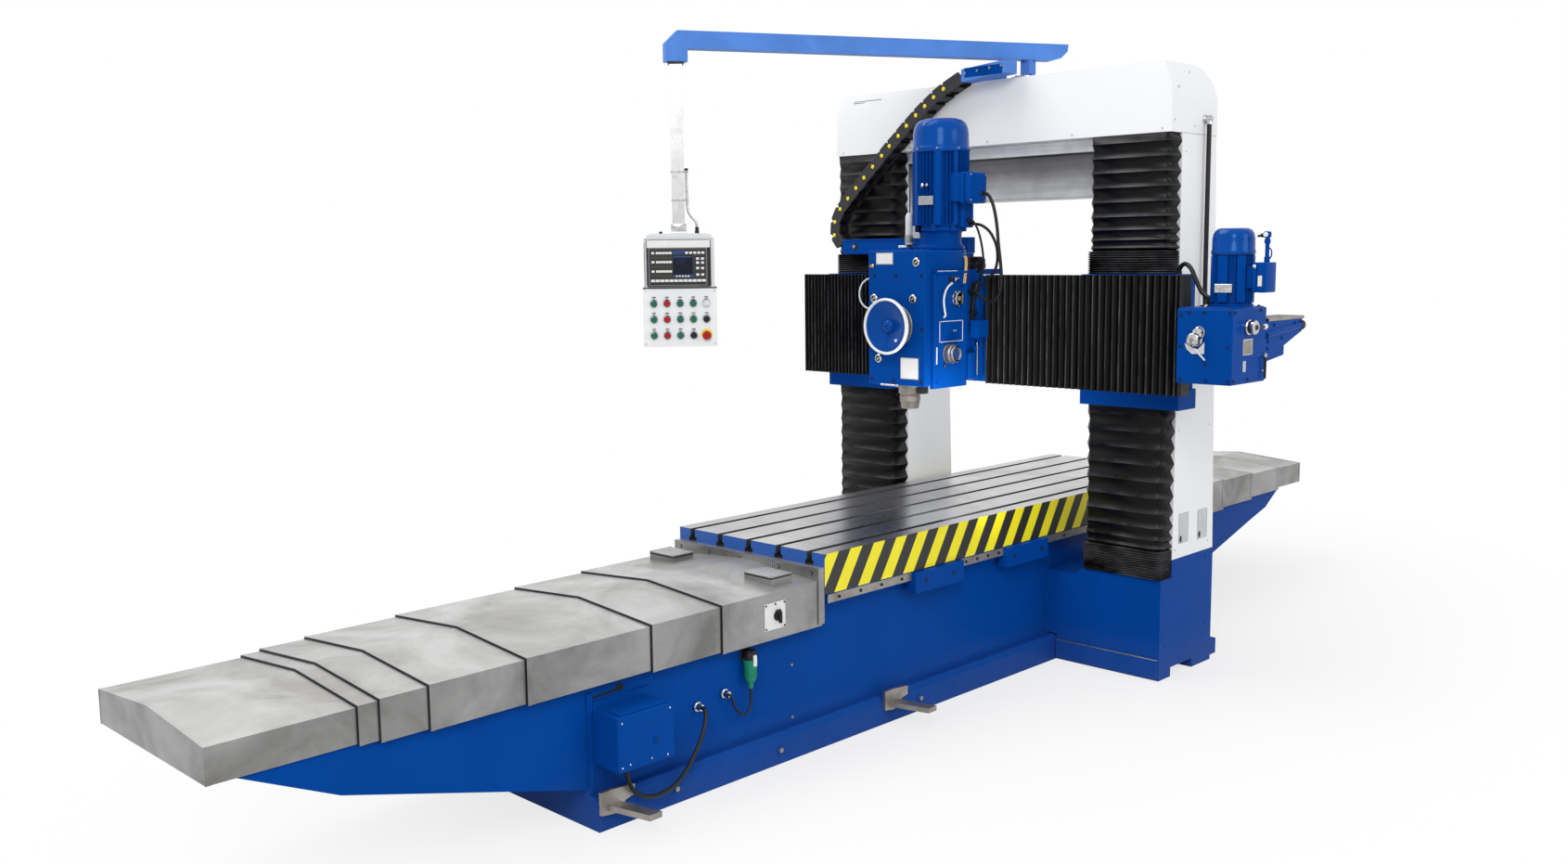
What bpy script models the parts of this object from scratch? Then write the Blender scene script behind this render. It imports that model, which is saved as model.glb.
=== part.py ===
"""Gantry milling machine: a double-column planer-type mill, modelled in metres with +Z up.

X runs across the table, Y along its travel away from the operator's end, and Z up.
The origin is on the floor, under the table's centre line, at the front of the gantry.
"""
import math

import bmesh
import bpy
from mathutils import Matrix, Vector

# Clearances
SEAT = 0.0003           # gap left between faces that touch
SLIDE_SEAT = 0.0005     # running gap of a scraped slideway

# Table
TABLE_HALF = 0.450
TABLE_FRONT = -1.722
TABLE_REAR = 1.296
SLOT_COUNT = 5
SLOT_PITCH = 2 * TABLE_HALF / (SLOT_COUNT - 0.0413)
SLOT_WIDTH = 0.030
SLOT_NECK = 0.036
SLOT_FOOT_WIDTH = 0.050
SLOT_DEPTH = 0.0545

# Bed
BED_HALF = TABLE_HALF - 0.058        # half width of the bed's walls
BED_TOP = 0.600
PLINTH_HALF = BED_HALF + 0.060     # half width of the foot flange
PLINTH_HEIGHT = 0.125
PLINTH_CHAMFER = 0.022
PLINTH_FRONT = -2.921
PLINTH_REAR = 1.364
NOSE_FRONT = -4.200     # tip of the front extension
NOSE_REAR = 2.800
NOSE_ROOT = 0.144       # height at which the extensions leave the plinth
WAY_CENTRE = TABLE_HALF - 0.150
WAY_WIDTH = 0.080
WAY_TOP = BED_TOP + 0.0497
TABLE_BOTTOM = WAY_TOP + SEAT
TABLE_TOP = TABLE_BOTTOM + 0.170

# Telescopic way covers
SHEET = 0.0016
COVER_STEP = 0.0070     # how much each section is narrower than the next
COVER_DROP = 0.0066     # how much each section is lower than the next
COVER_LIFT = 0.006      # how much shorter each section's skirt is
COVER_HALF = TABLE_HALF - 0.008
COVER_EAVE = TABLE_TOP - 0.108
COVER_RISE = 0.034      # ridge above the eaves
COVER_BOTTOM = COVER_EAVE - 0.192
FRONT_EDGES = [NOSE_FRONT + step for step in (-0.084, 0.395, 0.466, 0.638, 1.010, 1.560, 1.906)]
FRONT_LENGTH = 0.620
BULKHEAD = 0.006
FLANGE_THICKNESS = 0.035
FLANGE_HALF = TABLE_HALF - 0.002
FLANGE_BOTTOM = COVER_EAVE - 0.183
FLANGE_TOP = COVER_EAVE + 0.053
BOX_X = TABLE_HALF - 0.150           # switch boxes on the section beside the table
BOX_Y = TABLE_FRONT - 0.183
REAR_EDGES = [NOSE_REAR + step for step in (0.080, -0.250, -0.640, -1.024)]
REAR_LENGTH = 0.700
REAR_STEP = 0.0105
REAR_DROP = 0.0105

# Gantry
GANTRY_OUTER = TABLE_HALF + 0.576
GANTRY_INNER = GANTRY_OUTER - 0.426
GANTRY_DEPTH = 0.510
COLUMN_FRONT = 0.104
COLUMN_REAR_LOW = 0.505
COLUMN_REAR_HIGH = 0.430
WING_LEDGE = 0.490      # top of the base in front of the column
WING_INNER = WING_LEDGE - 0.035     # top of the base beside the bed
COLUMN_BASE = WING_LEDGE + 0.086
COLUMN_TOP = 2.585
GUIDE_HALF = 0.150      # half width of the column's guide
GUIDE_FRONT = 0.055
HEADER_TOP = COLUMN_TOP + 0.320
HEADER_SHOULDER = HEADER_TOP - 0.178
HEADER_ROUND = 0.166    # radius of the cover's rear edge
HEADER_TOP_HALF = GANTRY_OUTER - 0.044
HEADER_DEPTH = 0.433
BRIDGE_LOW = COLUMN_TOP - 0.357
BRIDGE_STEP = COLUMN_TOP - 0.148    # underside of the beam's front ledge

# Crossrail
RAIL_LEFT = -GANTRY_OUTER - 0.034
RAIL_RIGHT = GANTRY_OUTER + 0.196
RAIL_LOW = COLUMN_TOP - 1.181
RAIL_HIGH = RAIL_LOW + 0.534
RAIL_FRONT = -0.222
RAIL_REAR = -0.040
RAIL_FACE = RAIL_FRONT - 0.028      # front of the pleated guard
PLEAT_DEPTH = 0.020
CARRIAGE_LOW = RAIL_LOW - 0.089
CARRIAGE_FRONT = -0.060

# Column guards
GUARD_PEAK = -0.015
GUARD_WALL = 0.036
GUARD_FOLD = 0.016

# Milling head, measured from the head's own centre line
HEAD_X = -0.016
HEAD_HALF = 0.175
HEAD_FRONT = -0.700
HEAD_BACK = -0.372
HEAD_LOW = RAIL_LOW + 0.013
HEAD_HIGH = RAIL_HIGH + 0.124
SADDLE_FRONT = -0.292
SADDLE_LOW = HEAD_LOW + 0.008
HOOK_HIGH = RAIL_HIGH + 0.027       # top of the saddle behind the head
BAR_LOW = RAIL_HIGH + 0.106         # underside of the chain's bar
BAR_HIGH = BAR_LOW + 0.081
BODY_HIGH = RAIL_HIGH + 0.037       # top of the gearbox behind its front cover
COVER_BACK = HEAD_FRONT + 0.014
MOTOR_Y = -0.365
MOTOR_RADIUS = 0.140
SPINDLE_Y = -0.595
SPINDLE_LOW = HEAD_LOW - 0.120
WHEEL_Z = HEAD_LOW + 0.286
WHEEL_RADIUS = 0.134
WHEEL_Y = HEAD_FRONT - 0.085
DRUM_FRONT = HEAD_FRONT - 0.042     # front of the fixed drum behind the handwheel

# Feed gearbox at the right-hand end of the rail
FEED_LEFT = RAIL_RIGHT + 0.019
FEED_RIGHT = FEED_LEFT + 0.259
FEED_FRONT = -0.300
FEED_BACK = 0.018
FEED_LOW = RAIL_LOW + 0.066
FEED_HIGH = FEED_LOW + 0.327
FEED_MOTOR_X = FEED_RIGHT - 0.116
FEED_MOTOR_Y = -0.080
FEED_MOTOR_RADIUS = 0.0945
CRANK_Y = -0.165
CRANK_Z = FEED_HIGH - 0.082

# Energy chain
CHAIN_Y = -0.0675
CHAIN_HALF_WIDTH = 0.0425
CHAIN_HALF_HEIGHT = 0.035
CHAIN_TOP = HEADER_TOP + 0.019      # centre of the chain in its guide
CHAIN_LOW = BAR_HIGH - 0.031        # centre of the chain at the bar

# Pendant
POST_X = 0.170
POST_Y = 0.105
ARM_LOW = HEADER_TOP + 0.090
ARM_HIGH = ARM_LOW + 0.080
POLE_X = -0.690
POLE_Y = -1.480
POLE_HALF = 0.029
PENDANT_TURN = math.radians(48.0)
PENDANT_BREAK = 1.900
PENDANT_TOP = PENDANT_BREAK + 0.250
PENDANT_LOW = PENDANT_BREAK - 0.272


def material(name, colour, roughness, metallic=0.0):
    finish = bpy.data.materials.new(name)
    finish.use_nodes = True
    shader = finish.node_tree.nodes["Principled BSDF"]
    shader.inputs["Base Color"].default_value = (*colour, 1.0)
    shader.inputs["Roughness"].default_value = roughness
    shader.inputs["Metallic"].default_value = metallic
    return finish


def clear_scene():
    for item in list(bpy.data.objects):
        bpy.data.objects.remove(item, do_unlink=True)


def add_object(name, bm, finish, smooth=None):
    """Make one object of a bmesh, with its faces turned outwards."""
    bmesh.ops.recalc_face_normals(bm, faces=bm.faces)
    mesh = bpy.data.meshes.new(name)
    bm.to_mesh(mesh)
    bm.free()
    mesh.materials.append(finish)
    if smooth is not None:
        mesh.shade_smooth()
        mesh.set_sharp_from_angle(angle=math.radians(smooth))
    item = bpy.data.objects.new(name, mesh)
    bpy.context.scene.collection.objects.link(item)
    return item


def loft(name, rings, finish, smooth=None):
    """Skin a list of rings that have the same number of points, and cap both ends."""
    bm = bmesh.new()
    made = [[bm.verts.new(point) for point in ring] for ring in rings]
    count = len(made[0])
    for low, high in zip(made, made[1:]):
        for i in range(count):
            j = (i + 1) % count
            bm.faces.new((low[i], low[j], high[j], high[i]))
    bm.faces.new(list(reversed(made[0])))
    bm.faces.new(made[-1])
    return add_object(name, bm, finish, smooth)


AXIS_POINT = {
    "X": lambda a, b, t: (t, a, b),
    "Y": lambda a, b, t: (a, t, b),
    "Z": lambda a, b, t: (a, b, t),
}


def prism(name, outline, axis, low, high, finish, smooth=None):
    """Extrude an outline along an axis: (Y, Z) along X, (X, Z) along Y, (X, Y) along Z."""
    place = AXIS_POINT[axis]
    return loft(name, [[place(a, b, t) for a, b in outline] for t in (low, high)], finish, smooth)


def box(name, xs, ys, zs, finish):
    outline = [(xs[0], ys[0]), (xs[1], ys[0]), (xs[1], ys[1]), (xs[0], ys[1])]
    return prism(name, outline, "Z", zs[0], zs[1], finish)


def arc(cx, cy, radius, start, end, steps):
    """Points of an arc, in degrees."""
    angles = [math.radians(start + (end - start) * i / steps) for i in range(steps + 1)]
    return [(cx + radius * math.cos(a), cy + radius * math.sin(a)) for a in angles]


def turned(name, centre, levels, axis, finish, segments=32, fins=False):
    """Stack rings along an axis: each level is (height, radius) or (height, radius, groove radius)."""
    place = AXIS_POINT[axis]
    a0, b0 = centre
    rings = []
    for level in levels:
        height, radius = level[0], level[1]
        groove = level[2] if len(level) > 2 else radius
        ring = []
        for i in range(segments):
            angle = 2 * math.pi * i / segments
            r = groove if fins and i % 4 >= 2 else radius
            ring.append(place(a0 + r * math.cos(angle), b0 + r * math.sin(angle), height))
        rings.append(ring)
    return loft(name, rings, finish, 40)


def settle(item):
    """Replace an object's mesh by what its modifiers make of it."""
    graph = bpy.context.evaluated_depsgraph_get()
    mesh = bpy.data.meshes.new_from_object(item.evaluated_get(graph))
    item.modifiers.clear()
    item.data = mesh


def combine(item, tools, operation):
    """Join tools to an object, or cut them from it, and remove them."""
    for tool in tools:
        change = item.modifiers.new(operation.lower(), "BOOLEAN")
        change.object = tool
        change.operation = operation
        change.solver = "EXACT"
    settle(item)
    for tool in tools:
        bpy.data.objects.remove(tool, do_unlink=True)
    return item


def join(item, *tools):
    return combine(item, tools, "UNION")


def cut(item, *tools):
    return combine(item, tools, "DIFFERENCE")


def soften(item, width, segments=2):
    bevel = item.modifiers.new("edges", "BEVEL")
    bevel.width = width
    bevel.segments = segments
    bevel.limit_method = "ANGLE"
    bevel.angle_limit = math.radians(40)
    settle(item)
    return item


def smooth_route(points, per_span):
    """A Catmull-Rom curve through the points, with its first and last spans kept straight."""
    points = [Vector(point) for point in points]
    route = [points[0]]
    for p0, p1, p2, p3 in zip(points, points[1:], points[2:], points[3:]):
        for i in range(per_span):
            t = i / per_span
            route.append(0.5 * (2 * p1 + (p2 - p0) * t + (2 * p0 - 5 * p1 + 4 * p2 - p3) * t * t
                                + (3 * p1 - p0 - 3 * p2 + p3) * t ** 3))
    return route + points[-2:]


def cord(name, points, radius, finish, per_span=4):
    curve = bpy.data.curves.new(name, "CURVE")
    curve.dimensions = "3D"
    curve.bevel_depth = radius
    curve.bevel_resolution = 2
    curve.use_fill_caps = True
    spline = curve.splines.new("POLY")
    route = smooth_route(points, per_span)
    spline.points.add(len(route) - 1)
    for slot, point in zip(spline.points, route):
        slot.co = (*point, 1.0)
    curve.materials.append(finish)
    item = bpy.data.objects.new(name, curve)
    bpy.context.scene.collection.objects.link(item)
    return item


def bed(finish):
    """Bed casting: tapering extensions at both ends, a foot flange and two raised ways."""
    side = [(NOSE_FRONT, BED_TOP), (NOSE_FRONT, BED_TOP - 0.042), (NOSE_FRONT + 0.332, 0.405), (NOSE_FRONT + 0.985, 0.225),
            (PLINTH_FRONT, NOSE_ROOT), (PLINTH_FRONT, 0.0), (PLINTH_REAR, 0.0), (PLINTH_REAR, NOSE_ROOT),
            (NOSE_REAR - 1.088, 0.238), (NOSE_REAR - 0.559, 0.382), (NOSE_REAR - 0.361, 0.432),
            (NOSE_REAR - 0.169, BED_TOP - 0.057), (NOSE_REAR, BED_TOP - 0.044),
            (NOSE_REAR, BED_TOP)]
    body = prism("bed", side, "X", -BED_HALF, BED_HALF, finish)
    edge = PLINTH_HALF - PLINTH_CHAMFER
    foot = [(-PLINTH_HALF, 0.0), (PLINTH_HALF, 0.0), (PLINTH_HALF, PLINTH_HEIGHT - PLINTH_CHAMFER),
            (edge, PLINTH_HEIGHT), (-edge, PLINTH_HEIGHT), (-PLINTH_HALF, PLINTH_HEIGHT - PLINTH_CHAMFER)]
    tools = [prism("foot", foot, "Y", PLINTH_FRONT, PLINTH_REAR, finish)]
    seam = BED_HALF + 0.008
    tools.append(box("seam", (-seam, seam), (PLINTH_FRONT, PLINTH_FRONT + 0.024), (0.100, 0.500), finish))
    for side_sign in (-1, 1):
        centre = side_sign * WAY_CENTRE
        tools.append(box("way", (centre - WAY_WIDTH / 2, centre + WAY_WIDTH / 2),
                         (NOSE_FRONT, NOSE_REAR), (BED_TOP - 0.010, WAY_TOP), finish))
    join(body, *tools)
    return body


def wing(side_sign, finish):
    """Base of one column: stepped top, notched feet and a levelling lug at the back."""
    name = "base_wing_right" if side_sign > 0 else "base_wing_left"
    wall = BED_HALF + SEAT
    foot = PLINTH_HALF + SEAT
    over = PLINTH_HEIGHT + 0.005
    outline = [(foot, 0.0), (GANTRY_OUTER, 0.0), (GANTRY_OUTER, WING_LEDGE), (GANTRY_INNER - 0.005, WING_LEDGE),
               (GANTRY_INNER - 0.040, WING_INNER), (wall, WING_INNER), (wall, over), (foot, over)]
    outline = [(side_sign * x, z) for x, z in outline]
    body = prism(name, outline, "Y", 0.0, GANTRY_DEPTH, finish)
    xs = sorted((side_sign * GANTRY_INNER, side_sign * GANTRY_OUTER))
    seat = box("seat", xs, (COLUMN_FRONT, GANTRY_DEPTH), (WING_LEDGE - 0.010, COLUMN_BASE), finish)
    lug_xs = sorted((side_sign * (GANTRY_OUTER - 0.096), side_sign * (GANTRY_OUTER - 0.006)))
    lug = box("lug", lug_xs, (GANTRY_DEPTH - 0.010, GANTRY_DEPTH + 0.070), (0.017, 0.094), finish)
    join(body, seat, lug)
    notch_xs = sorted((side_sign * (foot + 0.060), side_sign * (GANTRY_OUTER + 0.020)))
    notch = box("notch", notch_xs, (0.113, 0.322), (-0.010, 0.045), finish)
    cut(body, notch)
    return body


def column(side_sign, finish):
    """White column with a raised front guide and a back that leans in towards the top."""
    name = "column_right" if side_sign > 0 else "column_left"
    centre = (GANTRY_INNER + GANTRY_OUTER) / 2

    def ring(z, rear):
        plan = [(GANTRY_INNER, COLUMN_FRONT), (centre - GUIDE_HALF, COLUMN_FRONT),
                (centre - GUIDE_HALF, GUIDE_FRONT), (centre + GUIDE_HALF, GUIDE_FRONT),
                (centre + GUIDE_HALF, COLUMN_FRONT), (GANTRY_OUTER, COLUMN_FRONT),
                (GANTRY_OUTER, rear), (GANTRY_INNER, rear)]
        return [(side_sign * x, y, z) for x, y in plan]

    body = loft(name, [ring(COLUMN_BASE + SEAT, COLUMN_REAR_LOW), ring(COLUMN_TOP, COLUMN_REAR_HIGH)], finish)
    pockets = []
    for y0, y1, z0, z1 in ((0.160, 0.252, 0.069, 0.216), (0.345, 0.440, 0.064, 0.210)):
        xs = sorted((side_sign * (GANTRY_OUTER - 0.030), side_sign * (GANTRY_OUTER + 0.010)))
        pockets.append(box("pocket", xs, (y0, y1), (COLUMN_BASE + z0, COLUMN_BASE + z1), finish))
    cut(body, *pockets)
    return body


def header(finish):
    """White cover over the top beam, rounded at its ends and at the back."""
    low = COLUMN_TOP + SEAT
    turn_z = HEADER_TOP - HEADER_ROUND
    side = [(0.0, low), (HEADER_DEPTH, low), (HEADER_DEPTH, turn_z)]
    side += arc(HEADER_DEPTH - HEADER_ROUND, turn_z, HEADER_ROUND, 0, 90, 8)[1:]
    side += [(0.0, HEADER_TOP)]
    body = prism("beam_cover", side, "X", -GANTRY_OUTER, GANTRY_OUTER, finish)
    right = [(GANTRY_OUTER + 0.001, low - 0.050), (GANTRY_OUTER + 0.001, HEADER_SHOULDER)]
    curve = []
    steps = 8
    for i in range(steps + 1):
        t = i / steps
        x = GANTRY_OUTER - (GANTRY_OUTER - HEADER_TOP_HALF) * t ** 1.8
        curve.append((x, HEADER_SHOULDER + (HEADER_TOP + 0.010 - HEADER_SHOULDER) * t))
    right += curve
    front = right + [(-x, z) for x, z in reversed(right)]
    shape = prism("shape", front, "Y", -0.050, HEADER_DEPTH + 0.050, finish)
    return combine(body, [shape], "INTERSECT")


def bridge(finish):
    """Machined top beam between the columns, with a stepped front."""
    front = COLUMN_FRONT
    side = [(front + 0.030, BRIDGE_LOW), (front + 0.280, BRIDGE_LOW), (front + 0.280, COLUMN_TOP - SEAT),
            (front + 0.020, COLUMN_TOP - SEAT), (front + 0.020, BRIDGE_STEP + 0.084), (front, BRIDGE_STEP + 0.078),
            (front, BRIDGE_STEP), (front + 0.030, BRIDGE_STEP - 0.012)]
    reach = GANTRY_INNER - SEAT
    return prism("top_beam", side, "X", -reach, reach, finish)


def cover_outline(half, eave, rise, bottom):
    """Roof-shaped outline of one cover section, outer side."""
    return [(-half, bottom), (-half, eave), (0.0, eave + rise), (half, eave), (half, bottom)]


def cover_shell(name, y0, y1, half, eave, bottom, bulkhead_y, finish):
    """One sheet-metal section with a bulkhead that stands on the ways."""
    outer = cover_outline(half, eave, COVER_RISE, bottom)
    inner = cover_outline(half - SHEET, eave - SHEET, COVER_RISE, bottom)
    outline = outer + list(reversed(inner))
    shell = prism(name, outline, "Y", y0, y1, finish)
    foot = WAY_TOP + SEAT
    grip = 0.0004
    plate = cover_outline(half - grip, eave - grip, COVER_RISE, foot)
    bulkhead = prism("bulkhead", plate, "Y", bulkhead_y, bulkhead_y + BULKHEAD, finish)
    return join(shell, bulkhead)


def roof_box(centre, half, eave, finish):
    """Shallow switch box that stands on the roof of a cover."""
    outline = []
    for x in (centre - 0.078, centre + 0.078):
        outline.append((x, eave + COVER_RISE * (1 - abs(x) / half) - SHEET / 2))
    outline += [(centre + 0.078, eave + 0.040), (centre - 0.078, eave + 0.040)]
    return prism("roof_box", outline, "Y", BOX_Y - 0.058, BOX_Y + 0.058, finish)


def front_covers(finish):
    last = len(FRONT_EDGES) - 1
    for index, edge in enumerate(FRONT_EDGES):
        inward = last - index
        name = "way_cover_front_%d" % (index + 1)
        half = COVER_HALF - COVER_STEP * inward
        eave = COVER_EAVE - COVER_DROP * inward
        bottom = COVER_BOTTOM + COVER_LIFT * inward
        if index < last:
            end = edge + FRONT_LENGTH
            shell = cover_shell(name, edge, end, half, eave, bottom, end - BULKHEAD - 0.002, finish)
            if index == 0:
                plate = cover_outline(half - 0.0004, eave - 0.0004, COVER_RISE, bottom + 0.0004)
                join(shell, prism("end", plate, "Y", edge + 0.001, edge + 0.004, finish))
        else:
            end = TABLE_FRONT - SEAT
            shell = cover_shell(name, edge, end - 0.010, half, eave, bottom, end - 0.020, finish)
            flange = [(-FLANGE_HALF, FLANGE_BOTTOM), (FLANGE_HALF, FLANGE_BOTTOM), (FLANGE_HALF, FLANGE_TOP),
                      (-FLANGE_HALF, FLANGE_TOP)]
            plate = prism("flange", flange, "Y", end - FLANGE_THICKNESS, end, finish)
            slot = box("slot", (-BED_HALF - 0.010, BED_HALF + 0.010), (end - 0.060, end + 0.010),
                       (0.400, WAY_TOP + SEAT), finish)
            join(shell, plate)
            cut(shell, slot)
            for centre in (-BOX_X, BOX_X):
                join(shell, roof_box(centre, half, eave, finish))


def rear_covers(finish):
    last = len(REAR_EDGES) - 1
    for index, edge in enumerate(REAR_EDGES):
        inward = last - index
        name = "way_cover_rear_%d" % (index + 1)
        half = COVER_HALF - REAR_STEP * inward
        eave = COVER_EAVE - 0.014 - REAR_DROP * inward
        bottom = COVER_BOTTOM - 0.004 + 0.009 * inward
        if index < last:
            start = edge - REAR_LENGTH
            shell = cover_shell(name, start, edge, half, eave, bottom, start + 0.002, finish)
            if index == 0:
                plate = cover_outline(half - 0.0004, eave - 0.0004, COVER_RISE, bottom + 0.0004)
                join(shell, prism("end", plate, "Y", edge - 0.004, edge - 0.001, finish))
        else:
            start = TABLE_REAR + SEAT
            shell = cover_shell(name, start + 0.010, edge, half, eave, bottom, start + 0.014, finish)
            flange = [(-FLANGE_HALF, FLANGE_BOTTOM), (FLANGE_HALF, FLANGE_BOTTOM), (FLANGE_HALF, FLANGE_TOP),
                      (-FLANGE_HALF, FLANGE_TOP)]
            plate = prism("flange", flange, "Y", start, start + FLANGE_THICKNESS, finish)
            slot = box("slot", (-BED_HALF - 0.010, BED_HALF + 0.010), (start - 0.010, start + 0.060),
                       (0.400, WAY_TOP + SEAT), finish)
            join(shell, plate)
            cut(shell, slot)


def table(finish):
    """Table with T-slots along its length."""
    outline = [(-TABLE_HALF, TABLE_BOTTOM), (TABLE_HALF, TABLE_BOTTOM), (TABLE_HALF, TABLE_TOP)]
    neck = SLOT_WIDTH / 2
    wide = SLOT_FOOT_WIDTH / 2
    middle = (SLOT_COUNT - 1) / 2
    for i in reversed(range(SLOT_COUNT)):
        centre = (i - middle) * SLOT_PITCH
        outline += [(centre + neck, TABLE_TOP), (centre + neck, TABLE_TOP - SLOT_NECK),
                    (centre + wide, TABLE_TOP - SLOT_NECK), (centre + wide, TABLE_TOP - SLOT_DEPTH),
                    (centre - wide, TABLE_TOP - SLOT_DEPTH), (centre - wide, TABLE_TOP - SLOT_NECK),
                    (centre - neck, TABLE_TOP - SLOT_NECK), (centre - neck, TABLE_TOP)]
    outline.append((-TABLE_HALF, TABLE_TOP))
    return prism("table", outline, "Y", TABLE_FRONT, TABLE_REAR, finish)


def travel_strip(side_sign, finish):
    """Strip under the table's edge that carries the two travel stops."""
    name = "travel_stops_right" if side_sign > 0 else "travel_stops_left"
    top = TABLE_BOTTOM - SEAT
    xs = sorted((side_sign * (TABLE_HALF - 0.045), side_sign * (TABLE_HALF - 0.004)))
    strip = box(name, xs, (TABLE_FRONT + 0.020, TABLE_REAR - 0.020), (BED_TOP + 0.006, top), finish)
    block_xs = sorted((side_sign * (TABLE_HALF - 0.035), side_sign * (TABLE_HALF + 0.020)))
    blocks = [box("block", block_xs, ys, (BED_TOP - 0.050, top - 0.004), finish)
              for ys in ((-1.150, -0.800), (-0.455, -0.115))]
    return join(strip, *blocks)


def column_guard(name, side_sign, levels, finish):
    """Folded guard around the front of a column: each level is (height, inset)."""
    rings = []
    rear = COLUMN_FRONT - SEAT
    for z, inset in levels:
        out = GANTRY_OUTER - inset
        inn = GANTRY_INNER + inset
        front = GUARD_PEAK + inset
        wall = GUARD_WALL
        plan = [(inn, rear), (inn, front), (out, front), (out, rear),
                (GANTRY_OUTER - wall, rear), (GANTRY_OUTER - wall, GUARD_PEAK + wall),
                (GANTRY_INNER + wall, GUARD_PEAK + wall), (GANTRY_INNER + wall, rear)]
        rings.append([(side_sign * x, y, z) for x, y in plan])
    return loft(name, rings, finish)


def fold_levels(low, high, packed_at_bottom, open_folds, packed_folds, packed_share):
    """Heights and insets of a guard with open folds and a packed stretch at one end."""
    packed = (high - low) * packed_share
    opened = (high - low) - packed
    steps = []
    if packed_at_bottom:
        steps += [packed / (2 * packed_folds)] * (2 * packed_folds)
        steps += [opened / (2 * open_folds)] * (2 * open_folds)
    else:
        steps += [opened / (2 * open_folds)] * (2 * open_folds)
        steps += [packed / (2 * packed_folds)] * (2 * packed_folds)
    levels = [(low, GUARD_FOLD)]
    z = low
    for i, step in enumerate(steps):
        z += step
        levels.append((z, 0.0 if i % 2 == 0 else GUARD_FOLD))
    return levels


def column_guards(finish):
    top = fold_levels(RAIL_HIGH + SEAT, COLUMN_TOP - SEAT, True, 10, 8, 0.22)
    bottom = fold_levels(WING_LEDGE + SEAT, CARRIAGE_LOW - SEAT, True, 9, 9, 0.22)
    for side_sign, side in ((-1, "left"), (1, "right")):
        column_guard("guard_upper_" + side, side_sign, top, finish)
        column_guard("guard_lower_" + side, side_sign, bottom, finish)


def rail(finish):
    """Crossrail with a carriage on each column's guide."""
    side = [(RAIL_FRONT, RAIL_LOW + 0.006), (RAIL_REAR, RAIL_LOW + 0.006), (RAIL_REAR, RAIL_HIGH - 0.006),
            (RAIL_FRONT, RAIL_HIGH - 0.006)]
    end = GANTRY_OUTER + 0.083
    body = prism("crossrail", side, "X", RAIL_LEFT + 0.010, end, finish)
    strip = box("strip", (end - 0.010, RAIL_RIGHT), (RAIL_FRONT, RAIL_FRONT + 0.040),
                (RAIL_LOW + 0.006, RAIL_HIGH - 0.006), finish)
    tunnel = box("tunnel", (end - 0.010, FEED_LEFT - SEAT), (RAIL_FRONT + 0.050, RAIL_REAR - 0.020),
                 (FEED_LOW + 0.050, FEED_HIGH - 0.050), finish)
    rib = box("rib", (end - 0.010, FEED_LEFT - 0.040), (RAIL_FRONT + 0.030, RAIL_FRONT + 0.060),
              (FEED_LOW + 0.060, FEED_HIGH - 0.060), finish)
    join(body, strip, tunnel, rib)
    centre = (GANTRY_INNER + GANTRY_OUTER) / 2
    for side_sign in (-1, 1):
        ys = (CARRIAGE_FRONT, COLUMN_FRONT - SLIDE_SEAT)
        inner = GANTRY_INNER + 0.004
        outer = GANTRY_OUTER + (0.083 if side_sign > 0 else 0.014)
        foot_outer = GANTRY_OUTER + (0.100 if side_sign > 0 else 0.014)
        upper = box("carriage", sorted((side_sign * inner, side_sign * outer)), ys, (RAIL_LOW + 0.003, RAIL_HIGH),
                    finish)
        lower = box("foot", sorted((side_sign * inner, side_sign * foot_outer)), ys, (CARRIAGE_LOW, RAIL_LOW + 0.003),
                    finish)
        join(body, upper, lower)
        gap = GUIDE_HALF + 0.006
        xs = sorted((side_sign * (centre - gap), side_sign * (centre + gap)))
        cut(body, box("way", xs, (GUIDE_FRONT - 0.006, 0.300), (CARRIAGE_LOW - 0.100, RAIL_HIGH + 0.100),
                      finish))
    return body


def pleats(name, left, right, count, finish):
    """Vertical pleats on the front of the rail."""
    back = RAIL_FRONT - SEAT
    outline = [(right, back), (left, back)]
    pitch = (right - left) / count
    for i in range(count):
        outline.append((left + pitch * i, RAIL_FACE + PLEAT_DEPTH))
        outline.append((left + pitch * (i + 0.5), RAIL_FACE))
    outline.append((right, RAIL_FACE + PLEAT_DEPTH))
    return prism(name, outline, "Z", RAIL_LOW, RAIL_HIGH, finish)


def motor(name, x, y, base, flange, fins_top, cowl_top, radius, foot, waist, finish, segments=64):
    """Flange motor, finned along its body and domed at the fan end."""
    groove = radius - 0.014
    cap = cowl_top - fins_top
    levels = [(base, foot), (base + 0.016, foot), (base + 0.022, waist), (flange - 0.022, waist),
              (flange - 0.016, foot), (flange, foot), (flange + 0.004, radius * 0.82, radius * 0.82),
              (flange + 0.030, radius * 0.82), (flange + 0.034, radius, groove), (fins_top - 0.006, radius, groove),
              (fins_top, radius * 0.97)]
    levels += [(fins_top + 0.60 * cap, radius * 0.97), (fins_top + 0.80 * cap, radius * 0.90),
               (fins_top + 0.94 * cap, radius * 0.72), (cowl_top, radius * 0.50)]
    return turned(name, (x, y), levels, "Z", finish, segments, fins=True)


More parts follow.
